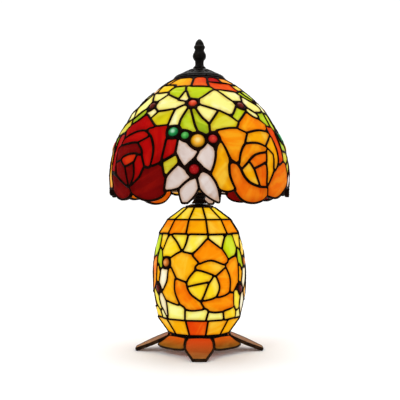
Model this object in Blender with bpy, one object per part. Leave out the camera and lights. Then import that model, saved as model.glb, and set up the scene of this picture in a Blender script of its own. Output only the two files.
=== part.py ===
"""Stained glass table lamp: a leaded dome shade on a harp, over a leaded barrel body on eight glass petals.

Frame: +Z up, origin on the table under the lamp's axis, front towards -Y. Lengths are in metres.
An angle round the lamp is measured from the front (-Y) towards +X.
"""

import math

import bmesh
import bpy
from mathutils import Matrix, Vector

MM = 0.001
GAP = 0.3 * MM  # between neighbouring pieces that touch on the real lamp
RUNNING = 0.5 * MM  # radial clearance of what turns or slides on a pin

# glass and leading
GLASS = 3.0 * MM
CAME_WIDTH = 3.6 * MM
CAME_PROUD = 0.7 * MM  # how far a came stands out of the glass on each side

# petals that the lamp stands on
PETALS = 4  # of each kind
PETAL_FIT = 32.4 * MM  # ring radius that the widths below are given for; they follow the ring's own radius
LONG_PETAL = dict(length=43.0 * MM, root=26.0 * MM, belly=33.0 * MM, belly_at=16.0 * MM,
                  tip=17.0 * MM, thick=4.2 * MM, slope=math.radians(23.2), top=20.1 * MM)
SHORT_PETAL = dict(length=13.6 * MM, root=22.0 * MM, belly=33.0 * MM, belly_at=6.5 * MM,
                   tip=14.0 * MM, thick=3.6 * MM, slope=math.radians(40.0), top=17.9 * MM)

# base ring, plate and centre rod
RING_INSET = 1.2 * MM  # of the ring's side from the body's lower edge
RING_WIDTH = 5.4 * MM
RING_HEIGHT = 4.7 * MM
BODY_FOOT = 21.0 * MM  # height of the body's lower edge above the table
PLATE_THICK = 1.4 * MM
ROD_RADIUS = 5.0 * MM
ROD_BORE = 3.3 * MM
NUT_FLATS = 14.0 * MM
NUT_HEIGHT = 4.5 * MM
WASHER_THICK = 1.2 * MM
BIG_WASHER_RADIUS = 9.0 * MM
CORD_BUSH_BORE = 3.4 * MM
CORD_BUSH_WALL = 1.6 * MM
CORD_BUSH_LIP = 1.0 * MM

# barrel body: twelve-sided, radii to the corners, heights above the body's lower edge
BODY_SIDES = 12
BODY_TURN = math.radians(-4.0)
BODY_HEIGHT = 141.8 * MM
BODY_TOP_RADIUS = 15.8 * MM
BODY_SHOULDER = (37.1 * MM, 128.2 * MM)
BODY_COLLAR = (46.8 * MM, 113.3 * MM)
BODY_BELLY = ((50.6 * MM, 94.0 * MM), (53.2 * MM, 75.0 * MM), (53.6 * MM, 59.0 * MM), (52.4 * MM, 39.0 * MM))
BODY_HEEL = (48.5 * MM, 18.3 * MM)
BODY_FOOT_RADIUS = 33.6 * MM
BODY_ROSES = 3

# neck, saddle and upper lamp holder
CAP_HEIGHT = 3.4 * MM
NECK_HEIGHT = 13.0 * MM
SADDLE_THICK = 1.7 * MM
SADDLE_RIM = 1.7 * MM  # beside the rod's hole
HARP_HALF_SPAN = 27.0 * MM
HARP_HEIGHT = 130.5 * MM  # from the saddle to the top of the wire
HARP_WIRE = 1.6 * MM
HARP_BOW = 5.0 * MM  # how far each leg bows out
POST_RADIUS = 2.3 * MM
POST_HEIGHT = 9.0 * MM
SLEEVE_HEIGHT = 14.0 * MM
SLEEVE_WALL = 1.3 * MM
CUP_LIP = 0.6 * MM  # how far the cup stands out round the shell
CUP_HEIGHT = 12.0 * MM
SHELL_HEIGHT = 38.0 * MM
SHELL_FLOOR = 9.0 * MM
SHELL_WALL = 1.6 * MM
SHELL_LINING = 2.4 * MM  # round the bulb's cap, for the insulating sleeve
KNOB_RADIUS = 5.5 * MM
KNOB_LENGTH = 11.0 * MM
KNOB_SHAFT = 1.7 * MM
KNOB_REACH = 6.0 * MM  # from the shell's side to the knob's inner face

# bulbs
BULB_CAP_RADIUS = 13.0 * MM
BULB_CAP_HEIGHT = 26.0 * MM
BULB_RADIUS = 22.5 * MM
SMALL_HOLDER_RADIUS = 9.5 * MM
SMALL_HOLDER_HEIGHT = 27.0 * MM
SMALL_CAP_RADIUS = 6.0 * MM
SMALL_BULB_RADIUS = 11.0 * MM
SMALL_BULB_HEIGHT = 40.0 * MM
SMALL_HOLDER_AT = 22.0 * MM  # from the lamp's axis, towards the back
BRACKET_HEIGHT = 50.0 * MM  # of the bracket above the table

# shade seat, cap and finial
STUD_RADIUS = 3.1 * MM
STUD_FLANGE = 2.5 * MM
STUD_LENGTH = 20.0 * MM
REST_THICK = 1.5 * MM
CAP_WALL = 1.3 * MM
CAP_VENTS = 8
FINIAL_HEIGHT = 33.2 * MM

# dome shade, outer face of the glass
SHADE_TURN = math.radians(-5.0)  # puts one white flower just left of the front
SHADE_RADIUS = 102.0 * MM
SHADE_CROWN_RADIUS = 26.0 * MM
SHADE_HEIGHT = 142.2 * MM  # crown to the plain lower edge, without the petals' scallops
SHADE_HANG = 10.8 * MM  # from the cap's top face down to the crown
SHADE_ROSES = 4
ROSE_HALF = math.radians(26.0)
CROWN_BAND = 28.5 * MM  # measured down the dome from the crown
DAISY_BAND = 61.5 * MM
# share of the way from the crown's radius to the rim's, and of the way down
DOME = ((0, 0), (0.254, 0.085), (0.584, 0.243), (0.767, 0.387), (0.901, 0.515), (0.968, 0.636),
        (0.997, 0.727), (1, 0.88), (0.994, 1))
# scallops of the lower edge: angle from the rose's middle in degrees, half width, depth, pointed or round
SCALLOPS = ((-6.8, 10.5, 10.0, False), (13.0, 9.8, 8.0, False), (38.0, 5.0, 12.0, True), (56.5, 5.0, 10.0, True))


def clear_scene():
    for obj in list(bpy.data.objects):
        bpy.data.objects.remove(obj, do_unlink=True)


def material(name, colour, roughness, metallic=0.0):
    made = bpy.data.materials.new(name)
    made.use_nodes = True
    shader = made.node_tree.nodes["Principled BSDF"]
    shader.inputs["Base Color"].default_value = (*colour, 1)
    shader.inputs["Roughness"].default_value = roughness
    shader.inputs["Metallic"].default_value = metallic
    made.diffuse_color = (*colour, 1)
    return made


clear_scene()
LEAD = material("dark_lead", (0.035, 0.025, 0.02), 0.45, 0.8)
BRONZE = material("dark_bronze", (0.06, 0.045, 0.035), 0.4, 0.9)
BRASS = material("brass", (0.6, 0.42, 0.16), 0.35, 1.0)
STEEL = material("zinc_steel", (0.6, 0.6, 0.58), 0.4, 1.0)
PHENOLIC = material("black_phenolic", (0.02, 0.02, 0.02), 0.5)
BULB_GLASS = material("opal_bulb_glass", (0.95, 0.93, 0.85), 0.2)
ORANGE = material("orange_glass", (0.9, 0.3, 0.03), 0.15)
AMBER = material("amber_glass", (0.9, 0.5, 0.05), 0.15)
CREAM = material("cream_glass", (0.9, 0.85, 0.4), 0.15)
RED = material("red_glass", (0.5, 0.01, 0.01), 0.15)
WHITE = material("white_glass", (0.8, 0.72, 0.68), 0.15)
BROWN = material("brown_glass", (0.3, 0.14, 0.04), 0.15)


def finish_object(name, bm, mat, location=(0, 0, 0), rotation=(0, 0, 0), smooth=35.0, parent=None):
    """Makes the object from the bmesh, with its faces turned out and soft edges shaded smooth."""
    bmesh.ops.recalc_face_normals(bm, faces=bm.faces)
    mesh = bpy.data.meshes.new(name)
    bm.to_mesh(mesh)
    bm.free()
    mesh.shade_smooth()
    mesh.set_sharp_from_angle(angle=math.radians(smooth))
    mesh.materials.append(mat)
    obj = bpy.data.objects.new(name, mesh)
    bpy.context.scene.collection.objects.link(obj)
    obj.location = location
    obj.rotation_euler = rotation
    obj.parent = parent
    return obj


def add_lathe(bm, profile, steps, closed=False):
    """Turns (radius, height) points about Z. An open profile starts and ends on the axis; a closed one is a ring."""
    rings = []
    for radius, height in profile:
        if radius == 0:
            rings.append([bm.verts.new((0, 0, height))] * steps)
        else:
            rings.append([bm.verts.new((radius * math.cos(math.tau * k / steps),
                                        radius * math.sin(math.tau * k / steps), height)) for k in range(steps)])
    pairs = list(zip(rings, rings[1:]))
    if closed:
        pairs.append((rings[-1], rings[0]))
    for lower, upper in pairs:
        for k in range(steps):
            corners = [lower[k], lower[(k + 1) % steps], upper[(k + 1) % steps], upper[k]]
            kept = [v for n, v in enumerate(corners) if v not in corners[:n]]
            bm.faces.new(kept)


def turned(name, profile, mat, location=(0, 0, 0), steps=24, closed=False, rotation=(0, 0, 0), parent=None):
    bm = bmesh.new()
    add_lathe(bm, profile, steps, closed)
    return finish_object(name, bm, mat, location, rotation, parent=parent)


def ring_profile(inner, outer, low, high):
    return [(inner, low), (outer, low), (outer, high), (inner, high)]


def washer(name, inner, outer, low, high, mat, steps=24, parent=None):
    return turned(name, ring_profile(inner, outer, 0, high - low), mat, (0, 0, low), steps, closed=True, parent=parent)


def cut(obj, cutter):
    cutter.hide_render = True
    cutter.display_type = "WIRE"
    modifier = obj.modifiers.new("cut_" + cutter.name, "BOOLEAN")
    modifier.operation = "DIFFERENCE"
    modifier.object = cutter


def join(obj, other):
    other.hide_render = True
    other.display_type = "WIRE"
    modifier = obj.modifiers.new("join_" + other.name, "BOOLEAN")
    modifier.operation = "UNION"
    modifier.object = other


def rod_shape(name, radius, low, high, location=(0, 0, 0), rotation=(0, 0, 0), steps=16):
    return turned(name, [(0, low), (radius, low), (radius, high), (0, high)], STEEL, location, steps, rotation=rotation)


def hex_nut(name, bore, low, mat):
    """A hexagon nut round the lamp's axis, standing on height low."""
    corner = NUT_FLATS / 2 / math.cos(math.pi / 6)
    nut = turned(name, [(0, 0), (corner, 0), (corner, NUT_HEIGHT), (0, NUT_HEIGHT)], mat, (0, 0, low), 6)
    cut(nut, rod_shape(name + "_bore", bore, low - NUT_HEIGHT, low + 2 * NUT_HEIGHT))
    return nut


class Wall:
    """A leaded wall turned about Z: an outline of (radius, height) points from the top down, round or many-sided."""

    def __init__(self, outline, sides=0):
        self.outline = [Vector(p) for p in outline]
        self.sides = sides
        self.marks = [0.0]
        for a, b in zip(self.outline, self.outline[1:]):
            self.marks.append(self.marks[-1] + (b - a).length)
        self.length = self.marks[-1]
        across = [Vector((a.y - b.y, b.x - a.x)).normalized() for a, b in zip(self.outline, self.outline[1:])]
        self.normals = [(a + b).normalized() for a, b in zip(across[:1] + across, across + across[-1:])]

    def section(self, down):
        """(point, outward normal) in the (radius, height) plane, at a distance down the outline. The normal turns
        evenly from corner to corner, so that pieces on each side of a corner keep their gap."""
        k = 0
        while k < len(self.marks) - 2 and down > self.marks[k + 1]:
            k += 1
        share = (down - self.marks[k]) / (self.marks[k + 1] - self.marks[k])
        normal = self.normals[k].lerp(self.normals[k + 1], share).normalized()
        return self.outline[k].lerp(self.outline[k + 1], share), normal

    def point(self, angle, down, out, shift=0.0):
        """The point at an angle and a distance down, out of the face by out, moved round the wall by shift."""
        at, normal = self.section(down)
        at = at + normal * out
        angle += shift / at.x
        radius = at.x
        if self.sides:
            side = math.tau / self.sides
            radius *= math.cos(side / 2) / math.cos(angle % side - side / 2)
        return Vector((radius * math.sin(angle), -radius * math.cos(angle), at.y))

    def rows(self, start, end, most=1.0):
        """Distances from start to end that include the outline's own corners between them."""
        inner = [m for m in self.marks if start + 1e-4 < m < end - 1e-4]
        stops = [start, *inner, end]
        found = [start]
        for a, b in zip(stops, stops[1:]):
            pieces = max(1, math.ceil((b - a) / most))
            found += [a + (b - a) * n / pieces for n in range(1, pieces + 1)]
        return found


def wall_solid(name, wall, columns, rows, out, back, mat, solid=None, closed=False, parent=None):
    """A piece of a wall between two faces, as a grid of cells. columns holds (angle, shift) pairs; a row is a
    distance down or a function of the angle. solid says which cells hold material, and closed joins the ends."""
    bm = bmesh.new()
    grid = {}
    widest = max(p.x for p in wall.outline)

    def vertex(i, j, face):
        i %= len(columns)
        if (i, j, face) not in grid:
            angle, shift = columns[i]
            down = rows[j](angle + shift / widest) if callable(rows[j]) else rows[j]
            grid[i, j, face] = bm.verts.new(wall.point(angle, down, face, shift))
        return grid[i, j, face]

    wide = len(columns) if closed else len(columns) - 1
    tall = len(rows) - 1

    def filled(i, j):
        if not 0 <= j < tall or not (closed or 0 <= i < wide):
            return False
        return solid is None or solid(i % wide, j)

    for i in range(wide):
        for j in range(tall):
            if not filled(i, j):
                continue
            for face in (out, -back):
                bm.faces.new([vertex(i, j, face), vertex(i + 1, j, face), vertex(i + 1, j + 1, face),
                              vertex(i, j + 1, face)])
            edges = (((i, j), (i + 1, j), (i, j - 1)), ((i, j + 1), (i + 1, j + 1), (i, j + 1)),
                     ((i, j), (i, j + 1), (i - 1, j)), ((i + 1, j), (i + 1, j + 1), (i + 1, j)))
            for a, b, beyond in edges:
                if not filled(*beyond):
                    bm.faces.new([vertex(*a, out), vertex(*b, out), vertex(*b, -back), vertex(*a, -back)])
    return finish_object(name, bm, mat, smooth=25, parent=parent)


def axis_empty(name, height=0.0, turn=0.0):
    empty = bpy.data.objects.new(name, None)
    bpy.context.scene.collection.objects.link(empty)
    empty.location = (0, 0, height)
    empty.rotation_euler = (0, 0, turn)
    return empty


RING_RADIUS = BODY_FOOT_RADIUS - RING_INSET
SHELL_RADIUS = BULB_CAP_RADIUS + SHELL_LINING + SHELL_WALL
CUP_RADIUS = SHELL_RADIUS + CUP_LIP

# ---- heights, stacked from the table up ----
RING_TOP = BODY_FOOT - GAP
RING_LOW = RING_TOP - RING_HEIGHT
PLATE_TOP = RING_LOW - GAP
PLATE_LOW = PLATE_TOP - PLATE_THICK
NUT_LOW = PLATE_LOW - 2 * GAP - WASHER_THICK - NUT_HEIGHT
ROD_LOW = NUT_LOW - 1.0 * MM
BODY_TOP = BODY_FOOT + BODY_HEIGHT
BODY_CAP_LOW = BODY_TOP + GAP
NECK_LOW = BODY_CAP_LOW + CAP_HEIGHT + GAP
NECK_TOP = NECK_LOW + NECK_HEIGHT
SADDLE_LOW = NECK_TOP + GAP
SADDLE_TOP = SADDLE_LOW + SADDLE_THICK
CUP_LOW = SADDLE_TOP + GAP
SHELL_LOW = CUP_LOW + CUP_HEIGHT + GAP
ROD_TOP = CUP_LOW + CUP_HEIGHT * 0.6
HARP_TOP = SADDLE_TOP + HARP_HEIGHT
STUD_LOW = HARP_TOP + HARP_WIRE + GAP
REST_LOW = STUD_LOW + STUD_FLANGE + GAP
CAP_PLATE_LOW = REST_LOW + REST_THICK + GAP
CAP_PLATE_TOP = CAP_PLATE_LOW + CAP_WALL
FINIAL_WASHER_LOW = CAP_PLATE_TOP + GAP
FINIAL_LOW = FINIAL_WASHER_LOW + WASHER_THICK + GAP
ROD_HOLE = ROD_RADIUS + GAP
SADDLE_WIDTH = 2 * (ROD_HOLE + SADDLE_RIM)
CORD_BUSH_AT = (BIG_WASHER_RADIUS + RING_RADIUS - RING_WIDTH) / 2  # midway between washer and ring, towards the back
STUD_HOLE = STUD_RADIUS + RUNNING


def petal_outline(shape):
    """Points of a petal in its own plane: u outwards from the root, v across, with a curved belly and rounded tip."""
    fit = RING_RADIUS / PETAL_FIT
    root, widest = shape["root"] * fit, shape["belly"] * fit
    half = [Vector((0, root / 2))]
    steps = 5
    for n in range(1, steps + 1):  # root to belly, easing into the widest place
        t = n / steps
        width = root + (widest - root) * math.sin(t * math.pi / 2)
        half.append(Vector((shape["belly_at"] * fit * t, width / 2)))
    belly, tip = half[-1], Vector((shape["length"], shape["tip"] * fit / 2))
    control = Vector((shape["length"] * 0.96, widest / 2 * 0.86))
    for n in range(1, steps + 1):  # belly to the blunt tip
        t = n / steps
        half.append(belly * (1 - t) ** 2 + control * 2 * t * (1 - t) + tip * t * t)
    return half + [Vector((p.x, -p.y)) for p in reversed(half)]


def petal(name, shape, angle, mat):
    """A flat petal sloping down and out from the base ring, cut level where it would pass the table."""
    slope = shape["slope"]
    root = RING_RADIUS + GAP + shape["thick"] * math.sin(slope)
    bm = bmesh.new()
    face = bm.faces.new([bm.verts.new((p.x, p.y, 0)) for p in petal_outline(shape)])
    made = bmesh.ops.extrude_face_region(bm, geom=[face])
    for v in made["geom"]:
        if isinstance(v, bmesh.types.BMVert):
            v.co.z -= shape["thick"]
    # local u runs outwards and down, so the table's plane is tilted in the petal's own axes
    place = Matrix.Rotation(angle - math.pi / 2, 4, "Z") @ Matrix.Translation((root, 0, shape["top"]))
    place = place @ Matrix.Rotation(slope, 4, "Y")
    table = place.inverted() @ Vector((0, 0, 0))
    up = (place.inverted().to_3x3() @ Vector((0, 0, 1))).normalized()
    low = min((place @ v.co).z for v in bm.verts)
    if low < 0:
        trimmed = bmesh.ops.bisect_plane(bm, geom=[*bm.verts, *bm.edges, *bm.faces], plane_co=table,
                                         plane_no=-up, clear_outer=True)
        rim = [e for e in trimmed["geom_cut"] if isinstance(e, bmesh.types.BMEdge)]
        bmesh.ops.contextual_create(bm, geom=rim)
    obj = finish_object(name, bm, mat)
    obj.matrix_world = place
    return obj


def base():
    for n, side in enumerate(("front", "right", "back", "left")):
        petal("long_petal_" + side, LONG_PETAL, math.tau * n / PETALS, BROWN)
    for n in range(PETALS):
        petal(f"short_petal_{n + 1}", SHORT_PETAL, math.tau * (n + 0.5) / PETALS, BROWN)
    washer("base_ring", RING_RADIUS - RING_WIDTH, RING_RADIUS, RING_LOW, RING_TOP, BRASS, 36)
    plate = washer("base_plate", ROD_HOLE, RING_RADIUS, PLATE_LOW, PLATE_TOP, STEEL, 36)
    bush_radius = CORD_BUSH_BORE + CORD_BUSH_WALL
    flange = 1.2 * MM
    cutter = rod_shape("cord_hole", bush_radius + GAP, PLATE_LOW - flange, PLATE_TOP + flange, (0, CORD_BUSH_AT, 0))
    cut(plate, cutter)
    bush = [(CORD_BUSH_BORE, PLATE_LOW - GAP - flange), (bush_radius + CORD_BUSH_LIP, PLATE_LOW - GAP - flange),
            (bush_radius + CORD_BUSH_LIP, PLATE_LOW - GAP), (bush_radius, PLATE_LOW - GAP),
            (bush_radius, PLATE_TOP + 1.5 * MM), (CORD_BUSH_BORE, PLATE_TOP + 1.5 * MM)]
    turned("cord_bush", bush, PHENOLIC, (0, CORD_BUSH_AT, 0), 20, closed=True)


def rod_and_nuts():
    washer("centre_rod", ROD_BORE, ROD_RADIUS, ROD_LOW, ROD_TOP, STEEL, 20)
    washer("bottom_washer", ROD_HOLE, BIG_WASHER_RADIUS, NUT_LOW + NUT_HEIGHT + GAP,
           NUT_LOW + NUT_HEIGHT + GAP + WASHER_THICK, STEEL)
    hex_nut("bottom_nut", ROD_HOLE, NUT_LOW, STEEL)


def lower_lamp():
    """A small lamp holder inside the body, on a bracket that a nut clamps on the rod."""
    reach = SMALL_HOLDER_AT + SMALL_HOLDER_RADIUS
    half = NUT_FLATS / 2 + 1 * MM
    bm = bmesh.new()
    bmesh.ops.create_cube(bm, size=1)
    bmesh.ops.scale(bm, vec=(2 * half, reach + half, PLATE_THICK), verts=bm.verts)
    bracket = finish_object("lamp_bracket", bm, STEEL, (0, (reach - half) / 2, BRACKET_HEIGHT + PLATE_THICK / 2))
    cut(bracket, rod_shape("bracket_hole", ROD_HOLE, BRACKET_HEIGHT - PLATE_THICK, BRACKET_HEIGHT + 2 * PLATE_THICK))
    hex_nut("bracket_nut", ROD_HOLE, BRACKET_HEIGHT - GAP - NUT_HEIGHT, STEEL)

    low = BRACKET_HEIGHT + PLATE_THICK + GAP
    at = (0, SMALL_HOLDER_AT, low)
    floor = 6 * MM
    bore = SMALL_CAP_RADIUS + RUNNING
    holder = [(0, 0), (SMALL_HOLDER_RADIUS, 0), (SMALL_HOLDER_RADIUS, SMALL_HOLDER_HEIGHT),
              (bore, SMALL_HOLDER_HEIGHT), (bore, floor), (0, floor)]
    turned("lower_lamp_holder", holder, PHENOLIC, at, 24)
    cap_low = floor + GAP
    cap_top = SMALL_HOLDER_HEIGHT + 1 * MM
    cap = [(0, cap_low), (SMALL_CAP_RADIUS, cap_low), (SMALL_CAP_RADIUS, cap_top), (0, cap_top)]
    turned("lower_bulb_cap", cap, BRASS, at, 20)
    glass_low = cap_top + GAP
    candle = [(0, glass_low), (SMALL_CAP_RADIUS, glass_low)]
    for t in (0.25, 0.5, 0.75, 0.92):  # a candle shape: full low down, pointed at the top
        swell = math.sin(math.pi * t ** 0.7) ** 0.8
        candle.append((SMALL_CAP_RADIUS * (1 - t) + (SMALL_BULB_RADIUS - SMALL_CAP_RADIUS / 2) * swell,
                       glass_low + SMALL_BULB_HEIGHT * t))
    candle.append((0, glass_low + SMALL_BULB_HEIGHT))
    turned("lower_bulb_glass", candle, BULB_GLASS, at, 20)


def body_wall():
    outline = [(BODY_TOP_RADIUS, BODY_HEIGHT), BODY_SHOULDER, BODY_COLLAR, *BODY_BELLY, BODY_HEEL, (BODY_FOOT_RADIUS, 0)]
    return Wall([(r, h + BODY_FOOT) for r, h in outline], BODY_SIDES)


def body():
    axis = axis_empty("body_axis", turn=BODY_TURN)
    wall = body_wall()
    shoulder, collar = wall.marks[1], wall.marks[2]
    heel = wall.marks[-2]
    half = CAME_WIDTH / 2
    edge = half + GAP
    side = math.tau / BODY_SIDES
    corners = [((n + 0.5) * side, 0) for n in range(BODY_SIDES)]
    # the panes of the upper and lower bands meet at the body's twelve corners
    turned_wall = Wall(wall.outline, 0)
    bands = (("shoulder_glass", 0, shoulder - edge, AMBER), ("collar_glass", shoulder + edge, collar - edge, ORANGE),
             ("foot_glass", heel + edge, wall.length, AMBER))
    for name, start, end, mat in bands:
        wall_solid(name, turned_wall, corners, [start, end], 0, GLASS, mat, closed=True, parent=axis)
    wall_solid("shoulder_came", turned_wall, corners, [shoulder - half, shoulder, shoulder + half], CAME_PROUD,
               GLASS + CAME_PROUD, LEAD, closed=True, parent=axis)

    # three rose panels between three upright cames, at corners of the body
    per_rose = BODY_SIDES // BODY_ROSES
    rows = turned_wall.rows(collar + edge, heel - edge, 0.03)
    for k in range(BODY_ROSES):
        columns = [corners[(k * per_rose + n) % BODY_SIDES] for n in range(per_rose + 1)]
        columns[0] = (columns[0][0], edge)
        columns[-1] = (columns[-1][0], -edge)
        wall_solid(f"body_rose_glass_{k + 1}", turned_wall, columns, rows, 0, GLASS, CREAM, parent=axis)
    columns = []
    for n, corner in enumerate(corners):
        columns += [(corner[0], -half), (corner[0], half)] if n % per_rose == 0 else [corner]
    upright = {columns.index((corners[k * per_rose][0], -half)) for k in range(BODY_ROSES)}
    rows = [collar - half, collar, *turned_wall.rows(collar + half, heel - half, 0.03), heel, heel + half]
    last = len(rows) - 2
    wall_solid("body_cames", turned_wall, columns, rows, CAME_PROUD, GLASS + CAME_PROUD, LEAD, closed=True,
               parent=axis, solid=lambda i, j: j < 2 or j > last - 2 or i in upright)


def neck():
    cap_radius = BODY_TOP_RADIUS + 0.4 * MM
    body_cap = [(ROD_HOLE, 0), (cap_radius, 0), (cap_radius, 1.3 * MM), (cap_radius * 0.72, CAP_HEIGHT * 0.7),
                (cap_radius * 0.6, CAP_HEIGHT), (ROD_HOLE, CAP_HEIGHT)]
    turned("body_cap", body_cap, BRONZE, (0, 0, BODY_CAP_LOW), 24, closed=True)
    # a turned neck: foot, waist, bead and top collar, as radius and share of its height
    spindle = ((8.6, 0), (8.8, 0.12), (8.0, 0.22), (6.6, 0.38), (6.6, 0.5), (8.6, 0.58), (9.6, 0.7), (8.8, 0.82),
               (7.4, 0.9), (7.8, 1))
    profile = [(ROD_HOLE, 0), *[(r * MM, h * NECK_HEIGHT) for r, h in spindle], (ROD_HOLE, NECK_HEIGHT)]
    turned("neck", profile, BRONZE, (0, 0, NECK_LOW), 24, closed=True)


def harp():
    """The saddle clamped under the lamp holder, the sprung wire that carries the shade, and its two locking sleeves."""
    reach = HARP_HALF_SPAN + POST_RADIUS + SLEEVE_WALL + RUNNING
    bm = bmesh.new()
    bmesh.ops.create_cube(bm, size=1)
    bmesh.ops.scale(bm, vec=(2 * reach, SADDLE_WIDTH, SADDLE_THICK), verts=bm.verts)
    saddle = finish_object("saddle", bm, BRASS, (0, 0, SADDLE_LOW + SADDLE_THICK / 2))
    for side, sign in (("left", -1), ("right", 1)):
        join(saddle, rod_shape("post_" + side, POST_RADIUS, SADDLE_LOW + SADDLE_THICK / 2, SADDLE_TOP + POST_HEIGHT,
                               (sign * HARP_HALF_SPAN, 0, 0), steps=12))
    cut(saddle, rod_shape("saddle_hole", ROD_HOLE, SADDLE_LOW - SADDLE_THICK, SADDLE_TOP + SADDLE_THICK))

    foot = SADDLE_TOP + POST_HEIGHT + GAP
    straight = foot + 16 * MM  # the legs stay straight as far as the sleeves slide
    shoulder = HARP_TOP - 0.24 * HARP_HEIGHT
    leg = [Vector((HARP_HALF_SPAN, 0, foot)), Vector((HARP_HALF_SPAN, 0, straight))]
    for n in range(1, 8):
        t = n / 8
        bow = HARP_BOW * math.sin(math.pi * t)
        leg.append(Vector((HARP_HALF_SPAN + bow, 0, straight + (shoulder - straight) * t)))
    for n in range(7):  # a quarter ellipse over the bulb
        a = math.pi / 2 * n / 7
        leg.append(Vector((HARP_HALF_SPAN * math.cos(a), 0, shoulder + (HARP_TOP - shoulder) * math.sin(a))))
    path = leg + [Vector((0, 0, HARP_TOP))] + [Vector((-p.x, 0, p.z)) for p in reversed(leg)]
    curve = bpy.data.curves.new("harp", "CURVE")
    curve.dimensions = "3D"
    curve.bevel_depth = HARP_WIRE
    curve.bevel_resolution = 2
    curve.use_fill_caps = True
    spline = curve.splines.new("POLY")
    spline.points.add(len(path) - 1)
    for point, at in zip(spline.points, path):
        point.co = (*at, 1)
    curve.materials.append(BRASS)
    bpy.context.scene.collection.objects.link(bpy.data.objects.new("harp", curve))

    inner = POST_RADIUS + RUNNING
    for side, sign in (("left", -1), ("right", 1)):
        turned("harp_sleeve_" + side, ring_profile(inner, inner + SLEEVE_WALL, 0, SLEEVE_HEIGHT), BRASS,
               (sign * HARP_HALF_SPAN, 0, SADDLE_TOP + GAP), 20, closed=True)

    stud = [(0, 0), (7 * MM, 0), (7 * MM, STUD_FLANGE), (STUD_RADIUS, STUD_FLANGE), (STUD_RADIUS, STUD_LENGTH),
            (STUD_RADIUS * 0.7, STUD_LENGTH + 1 * MM), (0, STUD_LENGTH + 1 * MM)]
    turned("harp_stud", stud, BRASS, (0, 0, STUD_LOW), 20)


def upper_lamp():
    cup = [(ROD_HOLE, 0), (CUP_RADIUS * 0.7, 0), (CUP_RADIUS, CUP_HEIGHT * 0.45), (CUP_RADIUS, CUP_HEIGHT),
           (CUP_RADIUS - SHELL_WALL, CUP_HEIGHT), (CUP_RADIUS - SHELL_WALL, CUP_HEIGHT * 0.45),
           (CUP_RADIUS * 0.7, SHELL_WALL), (ROD_HOLE, SHELL_WALL)]
    turned("socket_cup", cup, BRASS, (0, 0, CUP_LOW), 28, closed=True)
    bore = SHELL_RADIUS - SHELL_WALL
    shell = [(0, 0), (SHELL_RADIUS, 0), (SHELL_RADIUS, SHELL_HEIGHT), (bore, SHELL_HEIGHT), (bore, SHELL_FLOOR),
             (0, SHELL_FLOOR)]
    socket = turned("socket_shell", shell, BRASS, (0, 0, SHELL_LOW), 28)
    # the switch knob turns about Y, behind the socket
    knob_height = SHELL_LOW + SHELL_FLOOR / 2
    depth = 8 * MM
    along_y = (-math.pi / 2, 0, 0)
    cut(socket, rod_shape("knob_bore", KNOB_SHAFT + RUNNING, SHELL_RADIUS - depth, SHELL_RADIUS + depth,
                          (0, 0, knob_height), along_y, 14))
    start = SHELL_RADIUS - depth + GAP
    face = SHELL_RADIUS + KNOB_REACH
    knob = [(0, start), (KNOB_SHAFT, start), (KNOB_SHAFT, face), (KNOB_RADIUS * 0.8, face),
            (KNOB_RADIUS, face + 1.5 * MM), (KNOB_RADIUS * 0.85, face + KNOB_LENGTH - 1 * MM),
            (KNOB_RADIUS * 0.7, face + KNOB_LENGTH), (0, face + KNOB_LENGTH)]
    turned("switch_knob", knob, PHENOLIC, (0, 0, knob_height), 14, rotation=along_y)

    cap_low = SHELL_LOW + SHELL_FLOOR + GAP
    cap = [(0, 0), (BULB_CAP_RADIUS * 0.4, 0), (BULB_CAP_RADIUS, 3 * MM), (BULB_CAP_RADIUS, BULB_CAP_HEIGHT),
           (0, BULB_CAP_HEIGHT)]
    turned("upper_bulb_cap", cap, BRASS, (0, 0, cap_low), 24)
    glass_low = cap_low + BULB_CAP_HEIGHT + GAP
    throat = BULB_CAP_RADIUS
    centre = math.sqrt(BULB_RADIUS ** 2 - throat ** 2) + 4 * MM
    globe = [(0, 0), (throat, 0), (throat, 4 * MM)]
    start_angle = -math.acos(throat / BULB_RADIUS)
    for n in range(1, 9):
        a = start_angle + (math.pi / 2 - start_angle) * n / 9
        globe.append((BULB_RADIUS * math.cos(a), centre + BULB_RADIUS * math.sin(a)))
    globe.append((0, centre + BULB_RADIUS))
    turned("upper_bulb_glass", globe, BULB_GLASS, (0, 0, glass_low), 24)


def shade_wall(crown_height):
    wide = SHADE_RADIUS - SHADE_CROWN_RADIUS
    return Wall([(SHADE_CROWN_RADIUS + wide * r, crown_height - SHADE_HEIGHT * h) for r, h in DOME])


def scallop(angle):
    """How far the lower edge hangs below the plain edge, at an angle from the shade's own front."""
    step = 360 / SHADE_ROSES
    depth = 0.0
    for centre, half, drop, pointed in SCALLOPS:
        off = abs((math.degrees(angle) - centre) % step - step / 2) / half
        if off < 1:
            depth = max(depth, drop * MM * (1 - off if pointed else math.cos(off * math.pi / 2)))
    return depth


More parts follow.
